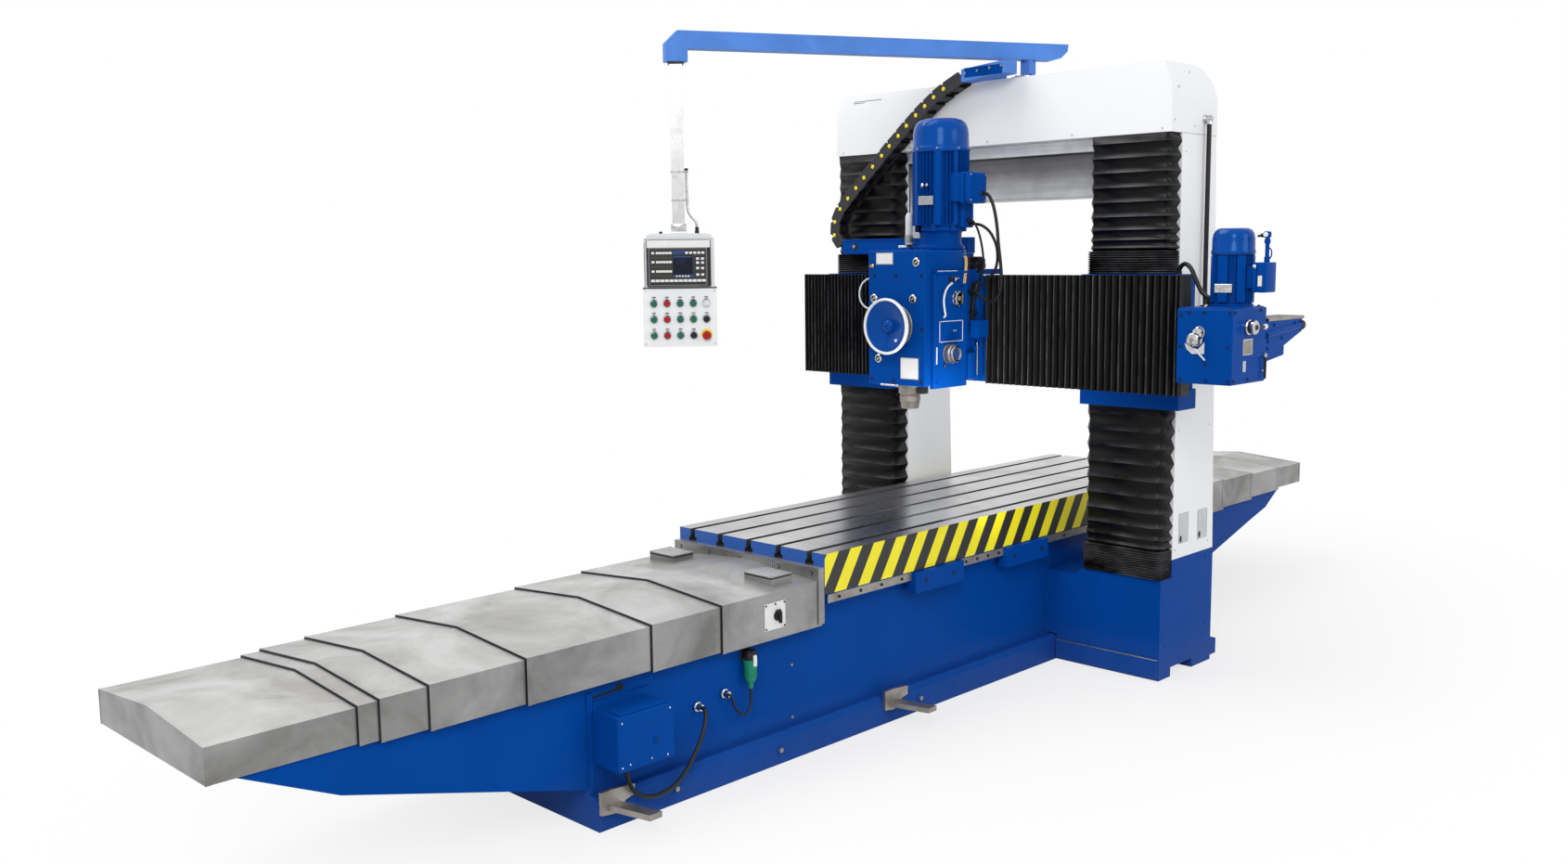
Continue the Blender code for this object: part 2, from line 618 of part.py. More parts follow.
def lathe(name, centre, axis, profile, finish, segments=32):
    """Turn a profile of (radius, height) points that starts and ends on the axis."""
    place = AXIS_POINT[axis]
    a0, b0 = centre
    bm = bmesh.new()
    first = bm.verts.new(place(a0, b0, profile[0][1]))
    last = bm.verts.new(place(a0, b0, profile[-1][1]))
    rings = []
    for radius, height in profile[1:-1]:
        ring = []
        for i in range(segments):
            angle = 2 * math.pi * i / segments
            ring.append(bm.verts.new(place(a0 + radius * math.cos(angle), b0 + radius * math.sin(angle), height)))
        rings.append(ring)
    for i in range(segments):
        j = (i + 1) % segments
        bm.faces.new((first, rings[0][i], rings[0][j]))
        bm.faces.new((last, rings[-1][j], rings[-1][i]))
        for low, high in zip(rings, rings[1:]):
            bm.faces.new((low[i], high[i], high[j], low[j]))
    return add_object(name, bm, finish, 40)


def put_origin(item, point):
    """Set an object's origin on its joint's axis without moving its shape."""
    item.data.transform(Matrix.Translation(-Vector(point)))
    item.location = point
    return item


def turn(item, centre, angle):
    """Turn an object's shape about a vertical line."""
    shift = Matrix.Translation(Vector((centre[0], centre[1], 0.0)))
    item.data.transform(shift @ Matrix.Rotation(angle, 4, "Z") @ shift.inverted())
    return item


def head(blue, chrome):
    """Vertical milling head: saddle, gearbox, motor, spindle and handwheel."""
    left, right = HEAD_X - HEAD_HALF, HEAD_X + HEAD_HALF
    saddle = box("head_saddle", (left - 0.006, right + 0.006), (SADDLE_FRONT, RAIL_FACE - SLIDE_SEAT),
                 (SADDLE_LOW, RAIL_HIGH + 0.010), blue)
    hook = box("hook", (left + 0.020, right - 0.020), (SADDLE_FRONT, RAIL_REAR - 0.020),
               (RAIL_HIGH + SLIDE_SEAT, HOOK_HIGH), blue)
    shelf = box("shelf", (left + 0.020, HEAD_X - 0.020), (SADDLE_FRONT + 0.057, RAIL_REAR - 0.020),
                (HOOK_HIGH - 0.010, BAR_LOW - SEAT), blue)
    apron = box("apron", (left + 0.030, right - 0.030), (HEAD_BACK + SEAT, SADDLE_FRONT + 0.010),
                (SADDLE_LOW + 0.015, HOOK_HIGH), blue)
    stop = box("stop", (right - 0.010, right + 0.042), (HEAD_BACK + 0.040, RAIL_FACE - 0.006),
               (HEAD_LOW + 0.218, HEAD_LOW + 0.301), blue)
    join(saddle, hook, shelf, apron, stop)
    body = box("head_gearbox", (left + 0.010, right - 0.012), (COVER_BACK - 0.006, HEAD_BACK), (HEAD_LOW, BODY_HIGH),
               blue)
    soften(body, 0.008, 2)
    cover = box("cover", (left, right), (HEAD_FRONT, COVER_BACK), (HEAD_LOW, HEAD_HIGH), blue)
    soften(cover, 0.003, 1)
    lid = box("lid", (right - 0.020, right + 0.001), (HEAD_FRONT + 0.060, HEAD_BACK - 0.002),
              (HEAD_LOW - 0.015, BODY_HIGH - 0.012), blue)
    soften(lid, 0.003, 1)
    adaptor = turned("adaptor", (HEAD_X + 0.005, MOTOR_Y), [(HOOK_HIGH + SLIDE_SEAT, 0.112), (HEAD_HIGH - 0.034, 0.112),
                                                            (HEAD_HIGH - 0.031, 0.124), (HEAD_HIGH, 0.124)], "Z", blue)
    drum = turned("drum", (HEAD_X, WHEEL_Z), [(DRUM_FRONT, 0.094), (DRUM_FRONT + 0.004, 0.098),
                                              (HEAD_FRONT + 0.010, 0.098)], "Y", blue, 40)
    join(body, cover, lid, adaptor, drum)

    base = HEAD_HIGH + SEAT
    drive = motor("head_motor", HEAD_X + 0.005, MOTOR_Y, base, base + 0.109, base + 0.478, base + 0.631, MOTOR_RADIUS,
                  0.118, 0.103, blue)
    inner = HEAD_X + 0.005 + MOTOR_RADIUS - 0.040
    pad = box("pad", (inner - 0.050, HEAD_X + 0.154), (MOTOR_Y - 0.020, MOTOR_Y + 0.090), (base + 0.118, base + 0.400),
              blue)
    terminal = box("terminal", (inner, HEAD_X + 0.236), (MOTOR_Y - 0.070, MOTOR_Y + 0.065),
                   (base + 0.220, base + 0.364), blue)
    soften(terminal, 0.024, 3)
    join(drive, pad, terminal)

    low = SPINDLE_LOW
    spindle = turned("spindle", (HEAD_X, SPINDLE_Y),
                     [(low, 0.042), (low + 0.034, 0.047), (low + 0.037, 0.050), (low + 0.062, 0.050),
                      (low + 0.065, 0.056), (HEAD_LOW - SEAT, 0.056)], "Z", chrome)
    bore = turned("bore", (HEAD_X, SPINDLE_Y), [(low - 0.010, 0.0225), (low + 0.070, 0.0125)], "Z", chrome)
    cut(spindle, bore)
    put_origin(spindle, (HEAD_X, SPINDLE_Y, HEAD_LOW))


def wheel(finish):
    """Dished handwheel on the front of the head."""
    face = DRUM_FRONT - SEAT
    rim = WHEEL_RADIUS
    profile = [(0.0, WHEEL_Y + 0.004), (0.020, WHEEL_Y + 0.004), (0.029, WHEEL_Y + 0.012),
               (0.034, WHEEL_Y + 0.028), (rim - 0.016, WHEEL_Y + 0.006), (rim - 0.012, WHEEL_Y - 0.006),
               (rim - 0.004, WHEEL_Y - 0.006), (rim, WHEEL_Y), (rim, WHEEL_Y + 0.010),
               (rim - 0.006, WHEEL_Y + 0.016), (0.060, WHEEL_Y + 0.034), (0.056, face), (0.0, face)]
    item = lathe("handwheel", (HEAD_X, WHEEL_Z), "Y", profile, finish, 48)
    put_origin(item, (HEAD_X, WHEEL_Y, WHEEL_Z))


def feed_unit(blue, black, chrome):
    """Feed gearbox on the right-hand end of the crossrail, with its own motor and lever."""
    body = box("feed_gearbox", (FEED_LEFT, FEED_RIGHT), (FEED_FRONT, FEED_BACK), (FEED_LOW, FEED_HIGH), blue)
    soften(body, 0.006, 2)
    box("rail_end_plate", (RAIL_RIGHT + SEAT, FEED_LEFT - SEAT), (RAIL_FACE, RAIL_FACE + 0.072),
        (RAIL_LOW, RAIL_HIGH), black)
    side = [(FEED_BACK + SEAT, FEED_LOW + 0.080), (0.220, FEED_LOW + 0.104), (0.220, FEED_LOW + 0.146), (0.402, FEED_LOW + 0.204),
            (0.402, FEED_LOW + 0.268),
            (FEED_BACK + SEAT, FEED_LOW + 0.258)]
    bracket = prism("feed_bracket", side, "X", FEED_RIGHT - 0.155, FEED_RIGHT - 0.010, blue)
    boss = turned("boss", (FEED_RIGHT - 0.082, FEED_LOW + 0.230), [(0.392, 0.022), (0.425, 0.022)], "Y", blue, 16)
    join(bracket, boss)
    base = FEED_HIGH + SEAT
    drive = motor("feed_motor", FEED_MOTOR_X, FEED_MOTOR_Y, base, base + 0.038, base + 0.244, base + 0.343,
                  FEED_MOTOR_RADIUS, FEED_MOTOR_RADIUS - 0.004, FEED_MOTOR_RADIUS - 0.012, blue)
    inner = FEED_MOTOR_X + FEED_MOTOR_RADIUS - 0.030
    outer = FEED_MOTOR_X + FEED_MOTOR_RADIUS + 0.018
    neck = box("neck", (inner, outer + 0.008), (FEED_MOTOR_Y - 0.036, FEED_MOTOR_Y + 0.036),
               (base + 0.083, base + 0.178), blue)
    terminal = box("terminal", (outer, outer + 0.064), (FEED_MOTOR_Y - 0.052, FEED_MOTOR_Y + 0.048),
                   (base + 0.065, base + 0.195), blue)
    soften(terminal, 0.006, 1)
    pipe = turned("pipe", (outer + 0.042, FEED_MOTOR_Y), [(base + 0.188, 0.012), (base + 0.295, 0.012),
                                                          (base + 0.297, 0.018), (base + 0.329, 0.018)], "Z", blue, 16)
    join(drive, neck, terminal, pipe)
    face = FEED_RIGHT + SEAT
    lever = turned("feed_lever", (CRANK_Y, CRANK_Z), [(face, 0.030), (face + 0.020, 0.030), (face + 0.024, 0.022),
                                                      (face + 0.046, 0.020)], "X", chrome, 24)
    grip = turned("grip", (face + 0.034, CRANK_Z), [(CRANK_Y, 0.008), (CRANK_Y + 0.085, 0.007),
                                                    (CRANK_Y + 0.088, 0.011), (CRANK_Y + 0.098, 0.013),
                                                    (CRANK_Y + 0.108, 0.009)], "Y", chrome, 16)
    join(lever, grip)
    put_origin(lever, (FEED_RIGHT, CRANK_Y, CRANK_Z))


# The chain's route: distance across, and share of its height between the bar and the guide
CHAIN_SHARES = [(-0.0803, 1), (-0.098, 1), (-0.14, 0.9771), (-0.2, 0.9325), (-0.29, 0.8687), (-0.375, 0.7964),
                (-0.493, 0.6819), (-0.607, 0.5639), (-0.732, 0.4325), (-0.849, 0.3048), (-0.908, 0.2349),
                (-0.94, 0.1687), (-0.95, 0.1096), (-0.95, 0.0663), (-0.9458, 0.041), (-0.934, 0.0193),
                (-0.916, 0.0051), (-0.895, 0), (-0.8903, 0)]
CHAIN_ROUTE = [(x, CHAIN_LOW + share * (CHAIN_TOP - CHAIN_LOW)) for x, share in CHAIN_SHARES]
CHAIN_SPLIT = 7


def chain_run(name, points, finish):
    """A stretch of energy chain: a strip of constant height along its route."""
    upper, lower = [], []
    for i, (x, z) in enumerate(points):
        before = points[max(i - 1, 0)]
        after = points[min(i + 1, len(points) - 1)]
        along = Vector((after[0] - before[0], after[1] - before[1])).normalized()
        upper.append((x + along.y * CHAIN_HALF_HEIGHT, z - along.x * CHAIN_HALF_HEIGHT))
        lower.append((x - along.y * CHAIN_HALF_HEIGHT, z + along.x * CHAIN_HALF_HEIGHT))
    outline = upper + list(reversed(lower))
    return prism(name, outline, "Y", CHAIN_Y - CHAIN_HALF_WIDTH, CHAIN_Y + CHAIN_HALF_WIDTH, finish)


def energy_chain(blue, black):
    """Chain from a guide on the beam cover down to a bar on the head."""
    meet = CHAIN_ROUTE[CHAIN_SPLIT]
    before = CHAIN_ROUTE[CHAIN_SPLIT + 1]
    along = Vector((before[0] - meet[0], before[1] - meet[1])).normalized() * SEAT
    lower = [(meet[0] + along.x, meet[1] + along.y)] + CHAIN_ROUTE[CHAIN_SPLIT + 1:]
    chain_run("chain_upper", CHAIN_ROUTE[:CHAIN_SPLIT + 1], black)
    chain_run("chain_lower", lower, black)
    low, high = CHAIN_Y - CHAIN_HALF_WIDTH - 0.005, CHAIN_Y + CHAIN_HALF_WIDTH + 0.005
    under, over = CHAIN_TOP - 0.028, CHAIN_TOP + 0.034
    rise = 0.022
    left_end = [(-0.080, low, under), (-0.080, high, under), (-0.080, high, over), (-0.080, low, over)]
    right_end = [(0.190, y, z + rise) for x, y, z in left_end]
    guide = loft("chain_guide", [left_end, right_end], blue)
    foot = box("foot", (-0.010, 0.080), (high - 0.010, 0.050), (HEADER_TOP + SEAT, HEADER_TOP + 0.020), blue)
    join(guide, foot)
    box("chain_bar", (-0.890, HEAD_X - 0.020), (CHAIN_Y - 0.0425, CHAIN_Y + 0.0175), (BAR_LOW, BAR_HIGH), blue)


def arm_frame(s, w):
    """Floor position of a point on the arm: s along it from the post, w to its side."""
    reach = Vector((POLE_X - POST_X, POLE_Y - POST_Y)).normalized()
    side = Vector((-reach.y, reach.x))
    point = Vector((POST_X, POST_Y)) + reach * s + side * w
    return point.x, point.y


def pendant(blue, chrome, white, dark):
    """Swinging arm, pole and control pendant."""
    post = box("arm_post", (POST_X - 0.027, POST_X + 0.027), (POST_Y - 0.027, POST_Y + 0.027),
               (HEADER_TOP + 0.004, ARM_LOW - SEAT), blue)
    plate = box("plate", (POST_X - 0.060, POST_X + 0.060), (POST_Y - 0.055, POST_Y + 0.055),
                (HEADER_TOP + SEAT, HEADER_TOP + 0.010), blue)
    join(post, plate)

    span = (Vector((POLE_X, POLE_Y)) - Vector((POST_X, POST_Y))).length
    low, high = ARM_LOW, ARM_HIGH
    tip = span + POLE_HALF + 0.022
    side = [(-0.120, low), (span - POLE_HALF - 0.022, low), (span - POLE_HALF - 0.022, low - 0.060),
            (tip, low - 0.060), (tip, high - 0.055), (tip - 0.055, high), (-0.205, high), (-0.200, low + 0.045),
            (-0.165, low + 0.012)]
    rings = []
    for w in (-0.035, 0.035):
        rings.append([(*arm_frame(s, w), z) for s, z in side])
    arm = loft("arm", rings, blue)
    put_origin(arm, (POST_X, POST_Y, ARM_LOW))

    axis = (POLE_X, POLE_Y)
    pole = box("pendant_pole", (POLE_X - POLE_HALF, POLE_X + POLE_HALF), (POLE_Y - POLE_HALF, POLE_Y + POLE_HALF),
               (PENDANT_TOP + SEAT, ARM_LOW - 0.060 - SEAT), chrome)
    turn(pole, axis, PENDANT_TURN)
    put_origin(pole, (*axis, PENDANT_TOP))

    half, corner = 0.1635, 0.035
    front = [(-half, PENDANT_BREAK), (half, PENDANT_BREAK)]
    front += arc(half - corner, PENDANT_TOP - corner, corner, 0, 90, 5)
    front += arc(-half + corner, PENDANT_TOP - corner, corner, 90, 180, 5)
    front = [(POLE_X + u, z) for u, z in front]
    housing = prism("pendant_housing", front, "Y", POLE_Y - 0.075, POLE_Y + 0.055, white)
    turn(housing, axis, PENDANT_TURN)
    put_origin(housing, (*axis, PENDANT_BREAK))

    screen = box("pendant_screen", (POLE_X - 0.152, POLE_X + 0.146), (POLE_Y - 0.095, POLE_Y - 0.075 - SEAT),
                 (PENDANT_BREAK + 0.006, PENDANT_TOP - 0.028), dark)
    soften(screen, 0.006, 2)
    turn(screen, axis, PENDANT_TURN)
    put_origin(screen, (*axis, PENDANT_BREAK))

    top, bottom = PENDANT_BREAK - SEAT, PENDANT_LOW
    lean = 0.050
    side = [(POLE_Y - 0.080, top), (POLE_Y + 0.055, top), (POLE_Y + 0.055, bottom),
            (POLE_Y - 0.080 - lean, bottom)]
    panel = prism("pendant_panel", side, "X", POLE_X - 0.172, POLE_X + 0.172, white)
    slope = math.atan2(lean, top - bottom)
    buttons = []
    for drop in (0.069, 0.142, 0.216):
        for column_index in range(5):
            u = (column_index - 2) * 0.0610
            y = POLE_Y - 0.080 - drop * math.tan(slope)
            button = turned("button", (0.0, 0.0), [(-0.004, 0.015), (0.014, 0.015), (0.017, 0.012)], "Z", white, 16)
            button.data.transform(Matrix.Translation(Vector((POLE_X + u, y, top - drop)))
                                  @ Matrix.Rotation(math.pi / 2 + slope, 4, "X"))
            buttons.append(button)
    join(panel, *buttons)
    turn(panel, axis, PENDANT_TURN)
    put_origin(panel, (*axis, PENDANT_BREAK))


BOX_FRONT = PLINTH_FRONT + 0.021
BOX_REAR = BOX_FRONT + 0.248
BOX_LOW, BOX_HIGH = 0.235, 0.440
BOX_RIGHT = BED_HALF + 0.151
GLAND_Y, GLAND_Z = BOX_REAR + 0.257, 0.327
LEAD_Y, LEAD_Z = BOX_REAR + 0.400, 0.345
PLUG_Y = BOX_REAR + 0.522
# Both routes: distance from the bed's wall, distance behind the box, height
CONDUIT_PATH = [(0.094, -0.163, 0.2145), (0.094, -0.163, 0.2), (0.095, -0.156, 0.165), (0.096, -0.128, 0.12),
                (0.096, -0.073, 0.088), (0.095, -0.008, 0.078), (0.093, 0.062, 0.092), (0.09, 0.127, 0.135),
                (0.085, 0.182, 0.195), (0.078, 0.224, 0.255), (0.064, 0.25, 0.305), (0.048, 0.257, 0.327),
                (0.0335, 0.257, 0.327)]
LEAD_PATH = [(0.032, 0.522, 0.3427), (0.032, 0.522, 0.325), (0.033, 0.52, 0.3), (0.036, 0.51, 0.268),
             (0.04, 0.484, 0.25), (0.043, 0.452, 0.258), (0.045, 0.424, 0.29), (0.046, 0.406, 0.326),
             (0.042, 0.4, 0.345), (0.0335, 0.4, 0.345)]
CONDUIT_ROUTE = [(BED_HALF + x, BOX_REAR + y, z) for x, y, z in CONDUIT_PATH]
LEAD_ROUTE = [(BED_HALF + x, BOX_REAR + y, z) for x, y, z in LEAD_PATH]


def electrics(blue, black, chrome, green):
    """Terminal box, conduit loop, green plug and its lead on the right-hand wall of the bed."""
    wall = BED_HALF + SEAT
    body = box("electrical_box", (wall + 0.009, BOX_RIGHT), (BOX_FRONT, BOX_REAR), (BOX_LOW, BOX_HIGH), blue)
    soften(body, 0.004, 1)
    back = box("back", (wall, wall + 0.012), (PLINTH_FRONT + 0.024 + SEAT, BOX_REAR + 0.012),
               (BOX_LOW - 0.004, 0.468), blue)
    x0, y0, z0 = CONDUIT_ROUTE[0]
    gland = turned("gland", (x0, y0), [(z0 + SEAT, 0.014), (BOX_LOW + 0.005, 0.014)], "Z", blue, 12)
    join(body, back, gland)
    for name, y, z, x1 in (("conduit_gland", GLAND_Y, GLAND_Z, CONDUIT_ROUTE[-1][0]),
                           ("lead_gland", LEAD_Y, LEAD_Z, LEAD_ROUTE[-1][0])):
        turned(name, (y, z), [(wall, 0.019), (wall + 0.012, 0.019), (wall + 0.014, 0.014),
                              (x1 - SEAT, 0.013)], "X", chrome, 16)
    cord("conduit", CONDUIT_ROUTE, 0.0085, black)
    x0, y0, z0 = LEAD_ROUTE[0]
    plug = turned("plug", (x0, y0), [(z0 + SEAT, 0.010), (z0 + 0.014, 0.016), (z0 + 0.050, 0.024), (z0 + 0.112, 0.030),
                                     (z0 + 0.131, 0.030), (z0 + 0.135, 0.022), (z0 + 0.157, 0.020)], "Z", green, 20)
    foot = box("foot", (wall, x0), (y0 - 0.018, y0 + 0.018), (z0 + 0.057, z0 + 0.127), green)
    join(plug, foot)
    cord("plug_lead", LEAD_ROUTE, 0.005, black)


def lifting_bar(name, y, steel, bed_item):
    """Flat bar through the foot of the bed, bent back at both ends, with a plate against each side."""
    half, low, high = 0.028, 0.078, 0.100
    bend, reach, offset = PLINTH_HALF + 0.014, PLINTH_HALF + 0.198, 0.042
    hole = box("hole", (-reach, reach), (y - half - SEAT, y + half + SEAT), (low - SEAT, high + SEAT), steel)
    cut(bed_item, hole)
    line = [(-reach, offset), (-bend, 0.0), (bend, 0.0), (reach, offset)]
    outline = [(x, y + lift - half) for x, lift in line] + [(x, y + lift + half) for x, lift in reversed(line)]
    bar = prism(name, outline, "Z", low, high, steel)
    shape = [(-0.056, 0.066), (0.002, 0.058), (0.034, 0.074), (0.056, 0.096), (0.098, 0.106), (0.098, 0.144),
             (-0.010, 0.152), (-0.056, 0.150)]
    plates = []
    for side_sign in (-1, 1):
        xs = sorted((side_sign * (PLINTH_HALF + SEAT), side_sign * (PLINTH_HALF + 0.014)))
        plates.append(prism("plate", [(y + a, b) for a, b in shape], "X", *xs, steel))
    return join(bar, *plates)


# Distance from the head's centre line, depth, height above the gearbox
MOTOR_LEAD_PATH = [(0.2365, -0.340, 0.268), (0.252, -0.340, 0.268), (0.278, -0.338, 0.250), (0.300, -0.334, 0.200),
                   (0.316, -0.330, 0.118), (0.326, -0.328, 0.018), (0.338, -0.326, -0.077), (0.342, -0.325, -0.160),
                   (0.326, -0.325, -0.222), (0.288, -0.325, -0.250), (0.242, -0.325, -0.244), (0.204, -0.325, -0.216),
                   (0.176, -0.325, -0.202), (0.1457, -0.325, -0.202)]
MOTOR_LEAD_ROUTE = [(HEAD_X + x, y, HEAD_HIGH + z) for x, y, z in MOTOR_LEAD_PATH]
HOSE_HIGH = COLUMN_TOP + 0.0467
HOSE_LOW = FEED_LOW + 0.145
# Distance outside the column, depth, share of the height between the two ends
HOSE_PATH = [(0.024, 0.31, 1), (0.024, 0.31, 0.9787), (0.024, 0.31, 0.8213), (0.024, 0.31, 0.6246),
             (0.024, 0.31, 0.4279), (0.025, 0.309, 0.2803), (0.031, 0.302, 0.182), (0.054, 0.278, 0.0984),
             (0.099, 0.236, 0.0443), (0.164, 0.184, 0.0148), (0.224, 0.136, 0.003), (0.27, 0.096, 0.0),
             (0.289, 0.062, 0.0), (0.292, 0.036, 0.0), (0.292, 0.0183, 0.0)]
HOSE_ROUTE = [(GANTRY_OUTER + x, y, HOSE_LOW + share * (HOSE_HIGH - HOSE_LOW)) for x, y, share in HOSE_PATH]


def hoses(black, chrome):
    """Motor cable on the head, and the hose from the column down to the feed gearbox."""
    cord("motor_lead", MOTOR_LEAD_ROUTE, 0.008, black)
    x1, y1, z1 = HOSE_ROUTE[0]
    elbow = turned("hose_fitting", (y1, z1 + 0.026), [(GANTRY_OUTER + SEAT, 0.020), (GANTRY_OUTER + 0.008, 0.020),
                                                      (GANTRY_OUTER + 0.010, 0.016), (x1 + 0.010, 0.016),
                                                      (x1 + 0.015, 0.011)], "X", chrome, 16)
    sleeve = turned("sleeve", (x1, y1), [(z1 + SEAT, 0.0145), (z1 + 0.026, 0.0135)], "Z", chrome, 16)
    join(elbow, sleeve)
    cord("column_hose", HOSE_ROUTE, 0.011, black)


def build():
    clear_scene()
    blue = material("blue_paint", (0.01, 0.06, 0.34), 0.35)
    white = material("white_paint", (0.80, 0.81, 0.82), 0.45)
    steel = material("ground_steel", (0.50, 0.50, 0.52), 0.30, 1.0)
    sheet = material("stainless_sheet", (0.52, 0.52, 0.53), 0.38, 1.0)
    fabric = material("black_guard", (0.015, 0.015, 0.017), 0.55)
    black = material("black_plastic", (0.02, 0.02, 0.02), 0.50)
    chrome = material("bright_metal", (0.75, 0.75, 0.77), 0.18, 1.0)
    green = material("green_plastic", (0.02, 0.20, 0.12), 0.45)
    bed_item = bed(blue)
    for side_sign in (-1, 1):
        wing(side_sign, blue)
        column(side_sign, white)
        travel_strip(side_sign, blue)
    header(white)
    bridge(steel)
    front_covers(sheet)
    rear_covers(sheet)
    table(steel)
    column_guards(fabric)
    rail(blue)
    pleats("rail_guard_left", RAIL_LEFT, HEAD_X - HEAD_HALF - 0.007, 35, fabric)
    pleats("rail_guard_right", HEAD_X + HEAD_HALF + 0.007, RAIL_RIGHT, 26, fabric)
    head(blue, chrome)
    wheel(blue)
    feed_unit(blue, black, chrome)
    energy_chain(blue, black)
    pendant(blue, chrome, white, black)
    electrics(blue, black, chrome, green)
    lifting_bar("lifting_bar_front", PLINTH_FRONT + 0.057, steel, bed_item)
    lifting_bar("lifting_bar_rear", -1.300, steel, bed_item)
    hoses(black, chrome)


build()
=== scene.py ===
# %% [markdown]
# A gantry milling machine, dressed for its photograph.
# The imported model gives the exact solids. This script adds the finishes and the fine pieces,
# and most pieces that it adds ride on the body that carries them.

# %% Load the imported model
from math import atan2, copysign, cos, pi, radians, sin, tan

import bmesh
import bpy
from mathutils import Matrix, Vector


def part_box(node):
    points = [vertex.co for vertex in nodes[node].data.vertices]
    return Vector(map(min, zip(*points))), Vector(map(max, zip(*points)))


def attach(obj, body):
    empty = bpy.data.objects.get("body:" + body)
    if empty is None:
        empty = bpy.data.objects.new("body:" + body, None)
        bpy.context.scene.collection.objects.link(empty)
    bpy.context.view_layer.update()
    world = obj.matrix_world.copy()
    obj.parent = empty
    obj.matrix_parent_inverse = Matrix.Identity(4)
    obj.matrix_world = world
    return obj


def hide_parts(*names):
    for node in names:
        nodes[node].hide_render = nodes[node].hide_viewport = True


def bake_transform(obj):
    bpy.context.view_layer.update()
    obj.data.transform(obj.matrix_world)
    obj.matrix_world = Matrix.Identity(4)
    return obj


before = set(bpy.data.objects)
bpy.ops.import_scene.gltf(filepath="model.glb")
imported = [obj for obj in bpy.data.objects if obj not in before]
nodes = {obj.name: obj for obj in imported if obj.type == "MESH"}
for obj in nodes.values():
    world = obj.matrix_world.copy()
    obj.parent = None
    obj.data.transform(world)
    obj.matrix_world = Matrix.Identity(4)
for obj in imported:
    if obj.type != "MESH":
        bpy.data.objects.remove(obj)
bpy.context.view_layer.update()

# %% [markdown]
# The photograph was taken from the front right, at about eye level, with a fairly wide lens.
# The camera's place and lens were solved from the straight edges of the table and the columns,
# so the camera is set from those numbers and nothing is aimed by eye.

# %% Camera
EYE = Vector((4.255, -5.832, 2.05))
TURN = radians(44.446)
TILT = radians(7.318)
ROLL = radians(0.646)
ahead = Vector((-sin(TURN) * cos(TILT), cos(TURN) * cos(TILT), -sin(TILT)))
level = Vector((cos(TURN), sin(TURN), 0.0))
down = ahead.cross(level)
across = level * cos(ROLL) + down * sin(ROLL)
above = level * sin(ROLL) - down * cos(ROLL)
camera_data = bpy.data.cameras.new("camera")
camera_data.lens = 31.8
camera_data.sensor_width = 36.0
camera_data.sensor_fit = "HORIZONTAL"
camera_data.clip_end = 100.0
camera = bpy.data.objects.new("camera", camera_data)
bpy.context.scene.collection.objects.link(camera)
camera.matrix_world = Matrix.Translation(EYE) @ Matrix((across, above, -ahead)).transposed().to_4x4()
bpy.context.scene.camera = camera
print("camera looks along", [round(v, 3) for v in ahead])

# %% [markdown]
# Materials, the world and the trees that repeat shapes are nodes joined by links.
# These helpers join two sockets, make a node with its values, and do one step of arithmetic.
# The last one picks out the rays that should see a white studio.

# %% Helpers for nodes
def link(tree, source, target):
    tree.links.new(source, target)


def add_node(tree, kind, **values):
    made = tree.nodes.new(kind)
    for name, value in values.items():
        socket = made.inputs.get(name.replace("_", " "))
        if socket is not None:
            socket.default_value = value
        else:
            setattr(made, name, value)
    return made


def math_node(tree, operation, first, second=None, third=None, clamp=False):
    made = tree.nodes.new("ShaderNodeMath")
    made.operation = operation
    made.use_clamp = clamp
    for slot, value in enumerate((first, second, third)):
        if isinstance(value, (int, float)):
            made.inputs[slot].default_value = value
        elif value is not None:
            link(tree, value, made.inputs[slot])
    return made.outputs[0]


def white_rays(tree):
    """1 for the rays that see the white background: from the camera, off metal and through glass."""
    rays = tree.nodes.new("ShaderNodeLightPath").outputs
    any_ray = math_node(tree, "MAXIMUM", rays["Is Camera Ray"], rays["Is Transmission Ray"])
    return math_node(tree, "MAXIMUM", any_ray, rays["Is Glossy Ray"])


# %% [markdown]
# The floor is pale and plain, and the lamps are broad and soft, as in a studio.
# What the camera and mirrors see behind the machine is white, which the world gives to those rays only,
# so that the machine itself isn't lit any harder.

# %% Floor
def put_in_scene(name, data):
    item = bpy.data.objects.new(name, data)
    bpy.context.scene.collection.objects.link(item)
    return item


FADE_FROM, FADE_TO = 1.0, 2.8     # the floor fades into white between these reaches
floor_finish = bpy.data.materials.new("studio_floor")
floor_finish.use_nodes = True
floor_tree = floor_finish.node_tree
floor_shader = floor_tree.nodes["Principled BSDF"]
floor_shader.inputs["Base Color"].default_value = (0.7, 0.7, 0.7, 1)
floor_shader.inputs["Roughness"].default_value = 0.95
squeeze = add_node(floor_tree, "ShaderNodeVectorMath", operation="MULTIPLY")
squeeze.inputs[1].default_value = (1.0, 0.55, 0.0)
away = add_node(floor_tree, "ShaderNodeVectorMath", operation="LENGTH")
fade = add_node(floor_tree, "ShaderNodeMapRange", interpolation_type="SMOOTHSTEP", From_Min=FADE_FROM,
    From_Max=FADE_TO, To_Min=0.72)
floor_mix = floor_tree.nodes.new("ShaderNodeMixShader")
link(floor_tree, floor_tree.nodes.new("ShaderNodeTexCoord").outputs["Object"], squeeze.inputs[0])
link(floor_tree, squeeze.outputs[0], away.inputs[0])
link(floor_tree, away.outputs["Value"], fade.inputs["Value"])
link(floor_tree, math_node(floor_tree, "MULTIPLY", fade.outputs[0], white_rays(floor_tree)), floor_mix.inputs[0])
link(floor_tree, floor_shader.outputs[0], floor_mix.inputs[1])
link(floor_tree, floor_tree.nodes.new("ShaderNodeEmission").outputs[0], floor_mix.inputs[2])
link(floor_tree, floor_mix.outputs[0], floor_tree.nodes["Material Output"].inputs["Surface"])
floor_mesh = bpy.data.meshes.new("studio_floor")
